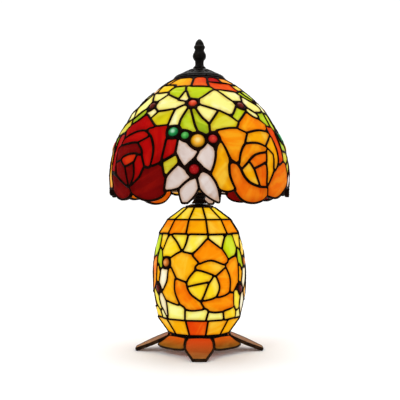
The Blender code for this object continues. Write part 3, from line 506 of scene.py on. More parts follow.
class LeadedWall:
    # panes: (glass, region, outline or (degrees, down, radius)). The outlines grow until they meet, then give
    # way to leading of an even width, so that no two panes touch and no gap stays open. A round pane is a
    # domed jewel.
    margin = 9  # how far round a pane's outline its own field reaches, in degrees and mm
    steep = 1.6  # how sharply the top and lower edges cut a pane off

    def __init__(self, wall, panes, look):
        self.wall, self.look = wall, look
        self.first, self.period, step = look["first"], look["period"], look["step"]
        degrees = np.arange(self.first - look["pad"], self.first + self.period + look["pad"],
                            math.degrees(step / look["radius"]))
        downs = np.arange(look["top"] - 3, look["bottom"] + 8, step)
        radii = wall.radius(downs)
        nearest = np.full((len(downs), len(degrees)), 1e6)
        second = nearest.copy()
        owner = np.full(nearest.shape, -1)
        self.panes, windows = [], []
        for number, (glass, region, outline) in enumerate(panes):
            domed = isinstance(outline, tuple)
            outline = self.smoothOutline(outline, region, domed)
            middle = sum(p[0] for p in outline) / len(outline)
            shift = -self.period * math.floor((middle - self.first) / self.period)
            for wrap in (-self.period, 0, self.period):
                moved = [(a + shift + wrap, b) for a, b in outline]
                (i0, i1), (j0, j1) = (
                    np.searchsorted(line, [min(p[n] for p in moved) - self.margin,
                                           max(p[n] for p in moved) + self.margin])
                    for n, line in enumerate((degrees, downs)))
                if i1 - i0 < 3:
                    continue
                away = distanceTo(moved, degrees[i0:i1], downs[j0:j1], radii[j0:j1]) - look["clear"] * domed
                if wrap == 0:
                    windows.append((i0, i1, j0, j1, away))
                    grow = 0.3 - look["clear"] if domed else look["tight"].get(region, look["grow"])
                    self.panes.append(dict(glass=glass, region=region, domed=domed, grow=grow))
                near, far = nearest[j0:j1, i0:i1], second[j0:j1, i0:i1]
                mine = away < near
                far[:] = np.where(mine, near, np.minimum(far, away))
                owner[j0:j1, i0:i1] = np.where(mine, number if wrap == 0 else -2, owner[j0:j1, i0:i1])
                near[:] = np.where(mine, away, near)
        lowest = self.lowerEdge(nearest, downs)
        for pane, number, (i0, i1, j0, j1, away) in zip(self.panes, range(len(windows)), windows):
            other = np.where(owner[j0:j1, i0:i1] == number, second[j0:j1, i0:i1], nearest[j0:j1, i0:i1])
            y = downs[j0:j1][:, None]
            field = np.minimum(other - away - look["lead"], 2 * (pane["grow"] - away))
            field = np.minimum(field, self.steep * (y - look["top"] - look["topEdge"]))
            field = np.minimum(field, self.steep * (lowest[None, i0:i1] - look["lowEdge"] - y))
            field[0, :] = field[-1, :] = field[:, 0] = field[:, -1] = -1
            loop = longestLoop(field, degrees[i0:i1], downs[j0:j1])
            radius = float(wall.radius(sum(p[1] for p in loop) / max(len(loop), 1))) if loop else 0
            pane["loop"] = thinned(loop, radius, look["tolerance"]) if len(loop) > 5 else []
        rimPitch = 1.2
        count = max(8, round(math.radians(self.period) * look["radius"] / rimPitch))
        self.rim = [(self.first + k * self.period / count,
                     float(np.interp(self.first + k % count * self.period / count, degrees, lowest)))
                    for k in range(-count, 2 * count + 1)]

    def smoothOutline(self, outline, region, domed):
        if domed:
            at, down, size = outline
            r = float(self.wall.radius(down))
            return [(at + math.degrees(size * math.cos(a) / r), down + size * math.sin(a))
                    for a in np.linspace(0, 2 * math.pi, 20, endpoint=False)]
        if region in self.look["sharp"]:
            return outline
        return soften(list(outline), math.radians(1) * self.look["radius"])

    def lowerEdge(self, nearest, downs):
        # the lower edge follows the panes
        look, lowest = self.look, []
        for column in nearest.T:
            inside = np.nonzero(column < look["rim"])[0]
            last = look["top"]
            if len(inside):
                k = min(inside[-1], len(downs) - 2)
                a, b = column[k], column[k + 1]
                last = downs[k] + look["step"] * (look["rim"] - a) / max(b - a, 1e-6)
            lowest.append(min(last, look["bottom"]))
        return np.array(lowest)

    def addPane(self, bm, pane, copy, slot, layers):
        # one pane as a closed slab, nearly flat, with its own streak direction
        wall, look, domed = self.wall, self.look, pane["domed"]
        loop = [(a + copy * self.period, b) for a, b in pane["loop"]]
        mid = (sum(p[0] for p in loop) / len(loop), sum(p[1] for p in loop) / len(loop))
        r = float(wall.radius(mid[1]))
        flat = np.array([(math.radians(a - mid[0]) * r, b - mid[1]) for a, b in loop])
        size = float(np.hypot(*flat.T).max())
        points, depth = innerPoints(flat, size / 4 if domed else max(2.6, size / 5), size)
        points, depth = [tuple(p) for p in flat] + points, [0.0] * len(flat) + depth
        got = delaunay_2d_cdt([Vector(p) for p in points], [], [list(range(len(flat)))], 0, 1e-5, True)
        verts, faces = got[0], [face for face, source in zip(got[2], got[5]) if source]
        depths = [depth[source[0]] if source else 0.0 for source in got[3]]
        places = [wall.point(mid[0] + math.degrees(v.x / r), mid[1] + v.y) for v in verts]
        out = (wall.point(*mid, 1.0) - wall.point(*mid)).normalized()
        centre = sum(places, Vector()) / len(places)
        spread = np.array([tuple(p - centre) for p, deep in zip(places, depths) if not deep])
        normal = Vector(np.linalg.svd(spread, full_matrices=False)[2][-1])
        normal = normal if normal.dot(out) > 0 else -normal
        side = normal.cross(Vector((0, 0, 1))).normalized()
        turn, seed = rng.uniform(0, math.pi), rng.uniform(0, 3)
        along = side * math.cos(turn) + normal.cross(side) * math.sin(turn)
        across = normal.cross(along)
        sheets = []
        for inner in (False, True):
            sheet = []
            for spot, deep in zip(places, depths):
                at = spot - normal * (spot - centre).dot(normal) * look["flatness"]
                bulge = 0.25 if deep else 0.0
                if domed:
                    bulge = size * look["dome"] * math.sqrt(max(0.0, 1 - (1 - min(deep / size, 1)) ** 2))
                at += normal * (-look["thick"] - bulge * 0.3 if inner else bulge) * mm
                vert = bm.verts.new(at)
                sheet.append(vert)
                offset = at - centre
                vert[layers[0]] = Vector((offset.dot(along) + seed, offset.dot(across) + seed * 0.7, seed))
                vert[layers[1]] = min(1.0, 1.15 * deep / size if domed else deep / 2.2)
                # painted shade: the inner face takes more of the rim's shade than the outer face
                vert[layers[1]] *= look["inside"] if inner else 1.0  # the inner face glows less
            sheets.append(sheet)
        sides = set()
        for face in faces:
            for sheet, order in zip(sheets, (face, face[::-1])):
                new = bm.faces.new([sheet[k] for k in order])
                new.material_index, new.smooth = slot, domed
            sides.update(zip(face, face[1:] + face[:1]))
        outer, inner = sheets
        for a, b in sides:
            if (b, a) not in sides:
                bm.faces.new([outer[b], outer[a], inner[a], inner[b]]).material_index = slot

    def glassPiece(self, name, region, materials):
        bm = bmesh.new()
        layers = (bm.verts.layers.float_vector.new("paneGrain"), bm.verts.layers.float.new("paneDepth"))
        used = []
        for copy in range(round(360 / self.period)):
            for pane in self.panes:
                if pane["region"] == region and pane["loop"]:
                    glass = pane["glass"]
                    if glass not in used:
                        used.append(glass)
                    self.addPane(bm, pane, copy, used.index(glass), layers)
        return meshPiece(name, bm, [materials[g] for g in used])

    def leadMesh(self):
        # everything between the panes, raised along its middle like a bead of solder on both faces
        look, wall, radius = self.look, self.wall, self.look["radius"]
        points, faces, edges = [], [], []

        def addPoints(line):
            points.extend((math.radians(a) * radius, b) for a, b in line)
            return list(range(len(points) - len(line), len(points)))

        low, high = self.first - look["pad"] + 1, self.first + self.period + look["pad"] - 1
        for pane in self.panes:
            for wrap in (-self.period, 0, self.period):
                loop = [(a + wrap, b) for a, b in pane["loop"]]
                if loop and min(p[0] for p in loop) > low and max(p[0] for p in loop) < high:
                    faces.append(addPoints(loop))
        rim = [spot for spot in self.rim if low < spot[0] < high]
        for line in (rim, [(a, look["top"]) for a, _ in rim[::3]]):
            keys = addPoints(line)
            edges += list(zip(keys, keys[1:]))
        got = delaunay_2d_cdt([Vector(p) for p in points], edges, faces, 0, 1e-5, True)
        verts = got[0]
        rimX, rimY = [math.radians(a) * radius for a, _ in rim], [b for _, b in rim]
        start, end = math.radians(self.first) * radius, math.radians(self.first + self.period) * radius
        kept, owners = [], {}
        for face, source in zip(got[2], got[5]):
            x, y = (sum(verts[k][n] for k in face) / 3 for n in (0, 1))
            if source or y < look["top"] or y > np.interp(x, rimX, rimY):
                continue
            if start <= x < end:
                kept.append(face)
            for a, b in zip(face, face[1:] + face[:1]):
                key = (min(a, b), max(a, b))
                owners[key] = owners.get(key, 0) + 1
        bm = bmesh.new()
        for copy in range(round(360 / self.period)):
            spots = {}

            def spot(level, a, b):
                # the middle between two points, raised where it lies inside the leading
                key = (level, min(a, b), max(a, b))
                if key not in spots:
                    x, y = (verts[a].x + verts[b].x) / 2, (verts[a].y + verts[b].y) / 2
                    rise = look["proud"]
                    if a != b and owners[key[1:]] > 1:
                        uneven = 1 + 0.18 * math.sin(x * 1.7 + y * 2.3) * math.sin(x * 0.6 - y * 1.1)
                        gap = math.hypot(verts[a].x - verts[b].x, verts[a].y - verts[b].y)
                        rise += min(max(gap * 0.34, 0.35), look["bead"]) * uneven
                    at = wall.point(math.degrees(x / radius) + copy * self.period, y,
                                    rise if level == 0 else -look["thick"] - rise)
                    spots[key] = bm.verts.new(at)
                return spots[key]

            for a, b, c in kept:
                for level in (0, 1):
                    ab, bc, ca = spot(level, a, b), spot(level, b, c), spot(level, c, a)
                    for corners in ((spot(level, a, a), ab, ca), (spot(level, b, b), bc, ab),
                                    (spot(level, c, c), ca, bc), (ab, bc, ca)):
                        bm.faces.new(corners if level == 0 else corners[::-1]).smooth = True
                for p, q in ((a, b), (b, c), (c, a)):
                    if owners[min(p, q), max(p, q)] == 1:
                        for s, e in (((p, p), (p, q)), ((p, q), (q, q))):
                            bm.faces.new((spot(0, *e), spot(0, *s), spot(1, *s), spot(1, *e))).smooth = True
        bmesh.ops.remove_doubles(bm, verts=bm.verts, dist=0.00002)
        return bm


def placeWall(kind, wall, panes, look, lamp, body, regions, cames):
    # a leaded wall's glass, one piece to a region, and its leading
    print(kind + ": laying out the panes")
    leaded = LeadedWall(wall, panes, look)
    glass = {name: glassMaterial(kind + "_" + name, tints, lamp) for name, tints in glassLooks.items()}
    for region, (finish, nodes) in regions.items():
        mount(leaded.glassPiece(kind + "_" + region, region, glass), body, nodes)
    print(kind + ": leading")
    mount(meshPiece(kind + "_leading", leaded.leadMesh(), [metals["leadPatina"]]), body, cames)


shadeLook = dict(
    outline=[(25.8, 0.0), (45.1, -12.1), (70.2, -34.3), (84.1, -54.8), (94.1, -73.1), (99.0, -90.3),
             (101.0, -103.3), (101.4, -116), (101.1, -129.3), (100.4, -145.0)], start=-1.4,
    period=180.0, first=-75.0, radius=86.0, pad=30.0, step=0.8, lead=2.7, grow=1.9, rim=2.9, topEdge=2.0,
    lowEdge=2.3, top=1.0, bottom=172.0, tolerance=0.12, thick=3.0, flatness=0.75, proud=0.35, bead=0.95,
    dome=0.4, clear=1.2, inside=0.2, tight={"flower": 0.9}, sharp=())
sideShift = 91.5  # a second set of flower and daisy stands a quarter turn round
# panes by region: the glass, then the outline in degrees from the front and mm down the dome, or a jewel's
# middle and radius
shadePanes = {
    "crown": [
        ("amber", [(-46, 20), (-42, 9), (-10, 9), (-12, 25), (-36, 24)]),
        ("amber", [(-60, 8), (-46, 8), (-48, 20), (-60, 19)]),
        ("flame", [(-10, 8), (13, 8), (9, 27), (-8, 27)]),
        ("crimson", [(15, 8), (35, 8), (33, 18), (13, 18)]),
        ("flame", [(12, 19), (47, 19), (48, 33), (17, 33)]),
        ("yellow", [(-60, 22), (-34, 22), (-36, 36), (-56, 34)]),
        ("orange", [(36, 8), (62, 8), (60, 20), (50, 19), (36, 18)]),
        ("yellow", [(50, 21), (72, 20), (70, 27), (56, 31), (49, 30)]),
        ("flame", [(64, 8), (84, 8), (82, 27), (73, 19)]),
        ("crimson", [(86, 8), (108, 8), (106, 17), (85, 26)]),
        ("orange", [(108, 8), (118, 8), (119, 20), (108, 19)]),
        ("amber", [(86, 27), (106, 19), (119, 21), (122, 33), (104, 33)]),
    ],
    "daisy": [
        # left of the front: greens and cream daisy petals
        ("lime", [(-32, 31), (-18, 29), (-17, 35), (-19.5, 49), (-34.5, 37.5)]),
        ("cream", [(-14.4, 40), (-10.5, 54), (-17.8, 53)]),
        ("jewelDark", (-43.3, 59.4, 4.2)),
        ("cream", [(-31.7, 45.6), (-18.3, 54), (-12.2, 58.8), (-19.5, 65), (-31.7, 67.5), (-39.4, 60),
                   (-37, 52.5)]),
        ("cream", [(-54, 39), (-35, 39), (-36, 46), (-42, 53), (-46, 50)]),
        ("butter", [(-58, 41), (-47, 56), (-50.5, 62.5), (-60.5, 72.5), (-67, 60)]),
        ("cream", [(-39.4, 64), (-35.5, 70), (-38.3, 75), (-43.3, 69)]),
        ("green", [(-47, 65), (-52, 77), (-58, 80), (-60, 76), (-53, 67)]),
        ("olive", [(-32.8, 69.5), (-21, 68), (-22.8, 86), (-30.5, 86.5), (-36.7, 77)]),
        # right of the front
        ("jewelDark", (36.7, 59.4, 4.2)),
        ("cream", [(0.5, 55), (8, 45), (15, 38), (20, 41), (30.5, 60), (25, 72), (10.5, 65), (0, 59)]),
        ("cream", [(22.8, 36), (40.5, 37.5), (45, 42.5), (39.4, 54), (32, 54)]),
        ("cream", [(45, 46), (54, 51), (62.8, 59), (59, 65), (48, 66), (41.7, 56)]),
        ("cream", [(40.5, 64), (46, 67), (51, 72.5), (45, 73)]),
        ("lime", [(31.7, 64), (37.8, 67.5), (28.3, 80), (26, 75)]),
        ("olive", [(15, 70.6), (26.7, 84), (24.4, 89), (16, 92), (7.8, 95), (7.2, 86)]),
        ("green", [(52.8, 69), (61.7, 68), (61.7, 81), (58, 84), (53, 77)]),
        # the side, a quarter turn from the front
        ("lime", [(54, 34), (66, 31), (75, 31), (76, 37), (72, 48), (60, 42)]),
        ("cream", [(63, 50), (74, 51), (79, 45), (83, 52), (82, 58), (75, 64), (66, 64)]),
        ("lime", [(46, 40), (52, 35.5), (55, 41), (60, 46), (62.5, 53), (54, 48)]),
        ("lime", [(66, 68), (74, 68), (73, 87), (66, 88), (64, 78)]),
        ("cream", [(90, 55), (98, 45), (108, 38), (117, 41), (112, 55), (104, 62), (92, 60)]),
        ("cream", [(100, 66), (112, 60), (118, 72), (108, 76)]),
        ("olive", [(107, 79), (117, 76), (120, 84), (114, 90), (99, 95), (98.5, 87)]),
    ],
    "flower": [
        ("green", [(66, 95), (69.5, 103), (76, 105.5), (77, 112), (67, 112)]),
        ("olive", [(66.5, 115), (77, 115), (77.5, 121), (71.5, 127), (66, 124)]),
        ("green", [(103.5, 100), (106, 96.5), (112, 94.5), (111, 104), (109.5, 112), (106, 108)]),
    ],
    "roseOrange": [
        ("orange", [(38.3, 71), (46, 77), (53.9, 84), (51, 90), (32.8, 94.6), (27.8, 90), (30.5, 82.5)]),
        ("orange", [(12, 95), (21, 91), (31, 98), (28, 108.5), (23.5, 128), (18.5, 122.5), (16, 111.5),
                    (13.5, 102.5)]),
        ("amber", [(32.5, 98.5), (39, 92.5), (46, 91), (52, 97), (45.5, 108.5), (38.5, 106), (30.5, 107)]),
        ("orange", [(24.5, 130.5), (24.5, 121), (27, 113), (32, 108.5), (40, 108), (45.5, 112.5),
                    (44.5, 116.5), (36.5, 118.5), (31.5, 123.5), (28, 130), (25.5, 134)]),
        ("tangerine", [(31.5, 127.5), (35, 121.5), (40, 118.5), (44.5, 118), (43.5, 128), (34, 133.5)]),
        ("amber", [(26, 136), (30.5, 129.5), (33, 134.5), (37.5, 152), (32, 149.5), (28, 143.5)]),
        ("tangerine", [(35, 135.5), (42.5, 129.5), (44, 137.5), (43, 152), (39, 152.5), (36.5, 143)]),
        ("amber", [(46, 122.5), (47, 114.5), (52.5, 118), (50.5, 130), (48, 142.5), (45, 149.5),
                   (45.5, 134)]),
        ("amber", [(53.5, 100.5), (57, 112), (57, 122), (52.5, 132.5), (53, 121), (47.5, 109.5)]),
        ("flame", [(56, 86.5), (62, 88), (65, 102.5), (65, 121.5), (59, 126.5), (59.5, 116.5),
                   (57.5, 103.5)]),
        ("tangerine", [(18.5, 132), (23.5, 134), (25.5, 142), (30, 150), (37, 154.5), (44, 156), (43.5, 162),
                       (40, 167), (33.5, 169.5), (27.5, 167.5), (23.5, 160.5), (20, 150.5), (18.5, 140.5)]),
        ("tangerine", [(66, 127), (72, 137.5), (69, 150.5), (59, 161.5), (53, 164), (46.5, 162), (45.5, 154),
                       (49.5, 144), (57, 133)]),
    ],
    "roseRed": [
        ("crimson", [(-43.5, 74), (-36, 83.5), (-33, 88.5), (-43, 90), (-51, 92.5), (-57, 96), (-59.5, 88.5),
                     (-54.5, 81)]),
        ("crimson", [(-35, 91.5), (-22.5, 89), (-21.5, 99.5), (-21.5, 110.5), (-23.5, 125.5), (-28.5, 130.5),
                     (-28, 115.5), (-30, 101.5)]),
        ("crimson", [(-20.5, 105.5), (-14, 105.5), (-14.5, 115.5), (-17, 120), (-21.5, 124), (-21.5, 116)]),
        ("crimson", [(-58.5, 106), (-55, 99), (-47.5, 94.5), (-41.5, 94), (-35, 100), (-40.5, 104),
                     (-48.5, 105)]),
        ("crimson", [(-33.5, 101.5), (-29.5, 112.5), (-29.5, 124.5), (-31.5, 133), (-35, 125.5),
                     (-36.5, 116), (-40.5, 107)]),
        ("darkRed", [(-62, 123.5), (-63, 112), (-55.5, 108), (-44.5, 106.5), (-38.5, 114), (-38, 118),
                     (-46, 116.5), (-53.5, 118.5)]),
        ("scarlet", [(-54.5, 122.5), (-49.5, 119.5), (-42, 119.5), (-42, 122.5), (-45.5, 127.5),
                     (-50, 130.5), (-54, 127)]),
        ("darkRed", [(-61.5, 128), (-57, 127.5), (-52.5, 132.5), (-50.5, 140.5), (-48.5, 150.5), (-56, 144),
                     (-60.5, 137.5)]),
        ("darkRed", [(-50, 132.5), (-44.5, 130), (-43, 136), (-43.5, 144.5), (-47, 150.5), (-49, 142.5)]),
        ("crimson", [(-41, 122), (-38, 122), (-36, 131), (-37.5, 141.5), (-44, 149.5), (-42, 143),
                     (-42, 130.5)]),
        ("darkRed", [(-35, 136), (-22, 132.5), (-21, 143.5), (-21, 154), (-21.5, 160.5), (-25.5, 165),
                     (-32, 167), (-38.5, 164), (-44, 158.5), (-44.5, 153), (-37.5, 145)]),
        ("darkRed", [(-67.5, 141.5), (-58.5, 146.5), (-50.5, 153.5), (-46.5, 158.5), (-48.5, 163.5),
                     (-54.5, 165.5), (-61.5, 162.5), (-67, 154)]),
        ("crimson", [(-70, 97), (-61.5, 97), (-60.5, 104), (-64.5, 110), (-65.5, 124), (-65, 134),
                     (-69, 133), (-70.5, 110)]),
    ],
}
# the daisies and flowers that come round twice in the pattern
twicePanes = {
    "daisy": [
        ("lime", [(-14, 30), (-3, 28), (7, 29), (13, 33), (-0.6, 51), (-7, 50.5)]),
        ("jewelBright", (-5.5, 59, 4.4)),
        ("cream", [(-9.4, 62.5), (-12, 72), (-14, 80), (-15, 87.5), (-20.5, 87.5), (-19.4, 75), (-17, 66)]),
        ("cream", [(-2.2, 62.5), (6, 65.5), (12.8, 70), (6.7, 85), (1.7, 77.5)]),
        ("lime", [(-8.3, 68), (-5, 80), (-2.2, 97), (-8.3, 94), (-12.2, 91), (-12.8, 81)]),
        ("green", [(-5, 66), (0.5, 77), (6, 86), (5.5, 99), (0.5, 96.5), (-2.8, 87.5)]),
    ],
    "flower": [
        ("jewelEmerald", (-17, 96, 5.3)),
        ("jewelGreen", (-9, 100.5, 4.0)),
        ("jewelAmber", (-1, 106.5, 7.0)),
        ("jewelRed", (8.3, 104.5, 4.6)),
        ("ruby", (-3, 136.5, 5.0)),
        ("lilac", [(-12.5, 105.5), (-9, 109), (-1.5, 119), (-4.5, 125), (-8.5, 131.5), (-12, 122.5),
                   (-13.5, 115.5)]),
        ("lilac", [(5, 108.5), (7.5, 113), (9, 122.5), (8.5, 130), (6.5, 137.5), (2.5, 133), (-1.5, 126),
                   (0.5, 117.5)]),
        ("lilac", [(-6, 144), (-9.5, 137), (-12.5, 133.5), (-16, 138.5), (-19, 147), (-20.5, 156.5),
                   (-16, 156), (-11, 153)]),
        ("lilac", [(0.5, 139.5), (4.5, 142), (8.5, 149.5), (10, 157.5), (11, 168.5), (6.5, 164.5), (2, 158),
                   (-0.5, 150)]),
        ("lilac", [(-2.5, 147), (-1, 152), (-2, 158), (-4.5, 164.5), (-9, 171.5), (-10.5, 164), (-11, 157),
                   (-8, 150.5)]),
        ("amber", [(12.5, 109), (15.5, 116.5), (17, 126.5), (16.5, 134), (17, 144), (20.5, 155.5),
                   (16.5, 158), (12, 155.5), (10.5, 149), (7.5, 141), (8.5, 135), (10, 125), (11.5, 115)]),
        ("olive", [(-22, 131), (-14, 123.5), (-13, 130), (-18.5, 139), (-20.5, 141.5)]),
    ],
}


def shadePattern():
    panes = [(glass, region, outline) for region, made in shadePanes.items() for glass, outline in made]
    edge, squash = 145, 0.6  # the second set ends higher up
    for region, made in twicePanes.items():
        for glass, outline in made:
            panes.append((glass, region, outline))
            if isinstance(outline, tuple):
                again = (outline[0] + sideShift, *outline[1:])
            else:
                again = [(a + sideShift, min(b, edge + (b - edge) * squash)) for a, b in outline]
            panes.append((glass, region, again))
    return panes


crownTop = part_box("crown_glass")[1][2] * 1000  # mm
shadeWall = Wall([(r, crownTop + z) for r, z in shadeLook["outline"]], shadeLook["start"])
placeWall("shade", shadeWall, shadePattern(), shadeLook, upperLamp, "shade", {
    "crown": ("orange_glass", ["crown_glass"]),
    "daisy": ("cream_glass", [f"shade_daisy_glass_{k}" for k in (1, 2, 3, 4)]),
    "flower": ("white_glass", [f"shade_flower_glass_{k}" for k in (1, 2, 3, 4)]),
    "roseOrange": ("orange_glass", ["shade_rose_glass_1", "shade_rose_glass_3"]),
    "roseRed": ("red_glass", ["shade_rose_glass_2", "shade_rose_glass_4"]),
}, ["shade_cames"])

bodyLook = dict(
    outline=[(15.3, 164.4), (36.3, 149.2), (45.8, 134.3), (49.5, 115), (52, 96), (52.4, 80), (51.2, 60),
             (47.4, 39.3), (32.9, 19.2)],
    straight=(0, 1, 7), sides=12, corner=11.5, bands=(25.9, 43.6, 139.5),
    period=120.0, first=-66.0, radius=50.0, pad=40.0, step=0.7, lead=2.3, grow=1.7, rim=12.0, topEdge=0.9,
    lowEdge=1.6, top=2.8, bottom=162.0, tolerance=0.1, thick=2.8, flatness=0.7, proud=0.3, bead=0.8, dome=0.4,
    clear=1.0, inside=0.2, tight={}, sharp=("cone", "collar", "foot"))
# panes of the barrel, laid out like the shade's
bodyPanes = [
    ("yellow", [(-66, 46), (-51, 46), (-55, 60), (-62, 58)]),
    ("yellow", [(-43.3, 48), (-32, 54), (-27, 62.5), (-39, 69), (-51, 69), (-52, 62.5), (-47.8, 52.5)]),
    ("lemon", [(-38, 46), (-19, 46), (-19.4, 54), (-22, 59)]),
    ("lemon", [(-12, 46.5), (9, 47), (-10, 64), (-18.3, 62.5)]),
    ("lemon", [(14.4, 47.5), (36.7, 47), (28.9, 57.5)]),
    ("lime", [(37.8, 47.5), (53, 47), (54, 58), (50, 66), (40, 70), (32, 60)]),
    ("green", [(-60, 62), (-54.5, 69), (-52, 80), (-58, 84), (-63, 76)]),
    ("jewelOrange", (-45, 76, 4.4)),
    ("jewelDark", (-62, 106, 4.8)),
    ("orange", [(11, 52.5), (32, 65), (35.5, 75), (30, 76), (15.5, 71), (1, 75), (-6, 68)]),
    ("amber", [(-36.7, 72.5), (-27.8, 66), (-13.3, 65.6), (-3.3, 75), (-13.3, 90), (-16.7, 95), (-29, 90),
               (-34.4, 80)]),
    ("amber", [(-3.3, 80), (12, 72.5), (30, 80), (19, 89), (4.4, 84)]),
    ("yellow", [(-13.3, 100), (-12, 92.5), (0, 84), (15.5, 89), (11, 95.6), (-2.2, 97.5)]),
    ("yellow", [(-13, 102), (9, 97.5), (3.3, 111), (0, 114), (-9, 110)]),
    ("yellow", [(18.3, 90.6), (23.9, 100), (22, 107.5), (15.5, 112.5), (6.7, 114), (12, 100)]),
    ("orange", [(32, 84), (38.9, 94), (38.9, 102.5), (33, 110), (24.4, 111), (26.7, 102.5), (22, 90)]),
    ("orange", [(35.5, 77.5), (43.3, 72), (51, 72), (54.4, 80), (54, 97), (44, 107), (41, 104), (41, 90)]),
    ("amber", [(57, 80), (62, 78), (64, 90), (60, 97), (56, 95)]),
    ("lemon", [(53.5, 101.5), (60, 112), (60, 128), (48.9, 122.5), (46.5, 110)]),
    ("orange", [(5.5, 119), (44.4, 110.6), (46.7, 125), (31, 127.5), (20, 129), (11, 126)]),
    ("orange", [(-29.4, 95), (-17.8, 97), (-14.4, 107.5), (-2.2, 117), (2.8, 125), (-11, 127.5), (-22, 120),
                (-31, 106)]),
    ("amber", [(-36.7, 83), (-31, 90), (-32, 106), (-28.3, 120), (-42, 117.5), (-48.9, 107.5), (-41, 97.5),
               (-39.4, 87.5)]),
    ("ivory", [(-52, 84), (-43, 84), (-43, 95), (-50, 105), (-56, 97.5), (-55, 90)]),
    ("ivory", [(-55.5, 109), (-46.7, 120), (-47.8, 134), (-55, 125), (-59, 117)]),
    ("butter", [(-42, 120), (-21, 125), (-21.7, 137.5), (-44.4, 137.5)]),
    ("cream", [(-60, 130.5), (-56, 129), (-50.5, 137), (-60, 137.5)]),
    ("butter", [(-15.5, 129), (8.9, 127.5), (6.7, 138), (-16.7, 137.5)]),
    ("butter", [(13.3, 131), (30, 132), (32, 138), (11, 138)]),
    ("yellow", [(35.5, 130), (48.9, 126), (57, 136), (37.8, 138)]),
]


def bodyRoundness(down):
    # the middle of the barrel is round and eases into the many-sided bands above and below it
    _, high, low = bodyLook["bands"]
    share = min(max((down - high) / 22, 0), 1) * min(max((low - down) / 26, 0), 1)
    return share * share * (3 - 2 * share)


def facetPanes(region, top, bottom, insets, colours):
    # one pane to each of the four sides in the pattern, between two places down the wall
    panes, (high, low) = [], insets
    side = 360 / bodyLook["sides"]
    for k, glass in enumerate(colours, -2):
        a, b = bodyLook["corner"] + side * k, bodyLook["corner"] + side * (k + 1)
        outline = [(a + high, top), (b - high, top), (b - low, bottom), (a + low, bottom)]
        panes.append((glass, region, outline))
    return panes


def bodyPattern():
    cone, collar, foot = bodyLook["bands"]
    gap = 1.2
    panes = [(glass, "rose", outline) for glass, outline in bodyPanes]
    panes += facetPanes("cone", 3.6, cone - gap, (5, 2.2), ("yellow",) * 4)
    panes += facetPanes("collar", cone + gap, collar - gap, (2.2, 1.8),
                        ("orange", "amber", "amber", "orange"))
    panes += facetPanes("foot", foot + gap, 160.6, (1.8, 2.4), ("amber", "flame", "amber", "amber"))
    return panes


bodyWall = Wall(bodyLook["outline"], 0, bodyLook["straight"], bodyLook["sides"], bodyLook["corner"],
                bodyRoundness)
placeWall("body", bodyWall, bodyPattern(), bodyLook, lowerLamp, "lamp", {
    "cone": ("amber_glass", ["shoulder_glass"]),
    "collar": ("orange_glass", ["collar_glass"]),
    "rose": ("cream_glass", [f"body_rose_glass_{k}" for k in (1, 2, 3)]),
    "foot": ("amber_glass", ["foot_glass"]),
}, ["body_cames", "shoulder_came"])

# the pierced cap on the shade: holes in an embossed shell, drawn like a leaded wall without its glass
capLook = dict(
    outline=[(8.6, 319.7), (12, 318.9), (19, 315.4), (25, 312.6), (28.1, 310.9), (29.2, 309.6),
             (29.3, 308.2)],
    plate=[(3.8, 318.9), (9.4, 318.9), (9.6, 319.5), (9.2, 320.0), (3.8, 320.1)],
    edge=[(28.3, 308.3), (29.0, 307.9), (29.6, 308.4), (29.7, 309.2), (29.1, 309.9), (28.4, 309.5)], beads=32,
    period=45.0, first=-22.5, radius=20.0, pad=40.0, step=0.3, lead=1.4, grow=0.1, rim=40.0, topEdge=0.5,
    lowEdge=0.5, top=0.05, bottom=24.2, tolerance=0.05, thick=0.7, proud=0.1, bead=0.55, clear=0, tight={},
    sharp=())
capHoles = [
    ("hole", "vent", [(-9, 3.2), (0, 2.6), (9, 3.2), (10, 6.0), (5, 9.0), (0, 11.0), (-5, 9.0), (-10, 6.0)]),
    ("hole", "vent", [(18, 12.0), (22.5, 9.0), (27, 12.0), (22.5, 14.5)]),
    ("hole", "vent", [(-7, 15.5), (0, 14.0), (7, 15.5), (0, 16.8)]),
]


def smoothProfile(points, pieces):
    # a curve through the points
    pts = [np.array(p, float) for p in points]
    made = [tuple(curveAt(*neighbours(pts, k), t)) for k in range(len(pts) - 1)
            for t in np.linspace(0, 1, pieces, endpoint=False)]
    return [(max(r, 0.05), z) for r, z in made] + [tuple(pts[-1])]


def addLathe(bm, profile, steps, relief=None, centre=(0, 0, 0), sideways=False):
    # turns (radius, height) points in mm about Z, or about Y when sideways; relief adds to a radius by angle,
    # point and height
    rings = []
    for n, (radius, height) in enumerate(profile):
        ring = []
        for k in range(steps):
            angle = math.tau * k / steps
            r = radius + (relief(angle, n, height) if relief and radius > 0 else 0.0)
            spot = (r * math.cos(angle), r * math.sin(angle), height)
            if sideways:
                spot = (spot[0], height, spot[1])
            if radius > 0 or k == 0:
                ring.append(bm.verts.new([(c + p) * mm for c, p in zip(centre, spot)]))
            else:
                ring.append(ring[0])
        rings.append(ring)
    loops = list(zip(rings, rings[1:]))
    if profile[0][0] > 0 and profile[-1][0] > 0:
        loops.append((rings[-1], rings[0]))
    for lower, upper in loops:
        for k in range(steps):
            corners = [lower[k], lower[(k + 1) % steps], upper[(k + 1) % steps], upper[k]]
            bm.faces.new([v for n, v in enumerate(corners) if v not in corners[:n]]).smooth = True


def turnedPiece(name, profile, material, steps, relief=None, centre=(0, 0, 0), sideways=False, sharp=35):
    bm = bmesh.new()
    addLathe(bm, profile, steps, relief, centre, sideways)
    piece = meshPiece(name, bm, [material])
    piece.data.set_sharp_from_angle(angle=math.radians(sharp))
    return piece


print("cap, finial and neck")
cap = LeadedWall(Wall(capLook["outline"]), capHoles, capLook).leadMesh()
bmesh.ops.recalc_face_normals(cap, faces=cap.faces)
addLathe(cap, capLook["plate"], 64)
addLathe(cap, capLook["edge"], 96, lambda angle, n, z: 0.12 * math.cos(capLook["beads"] * angle))
mount(meshPiece("pierced_cap", cap, [metals["bronzePatina"]]), "shade", ["shade_cap"])

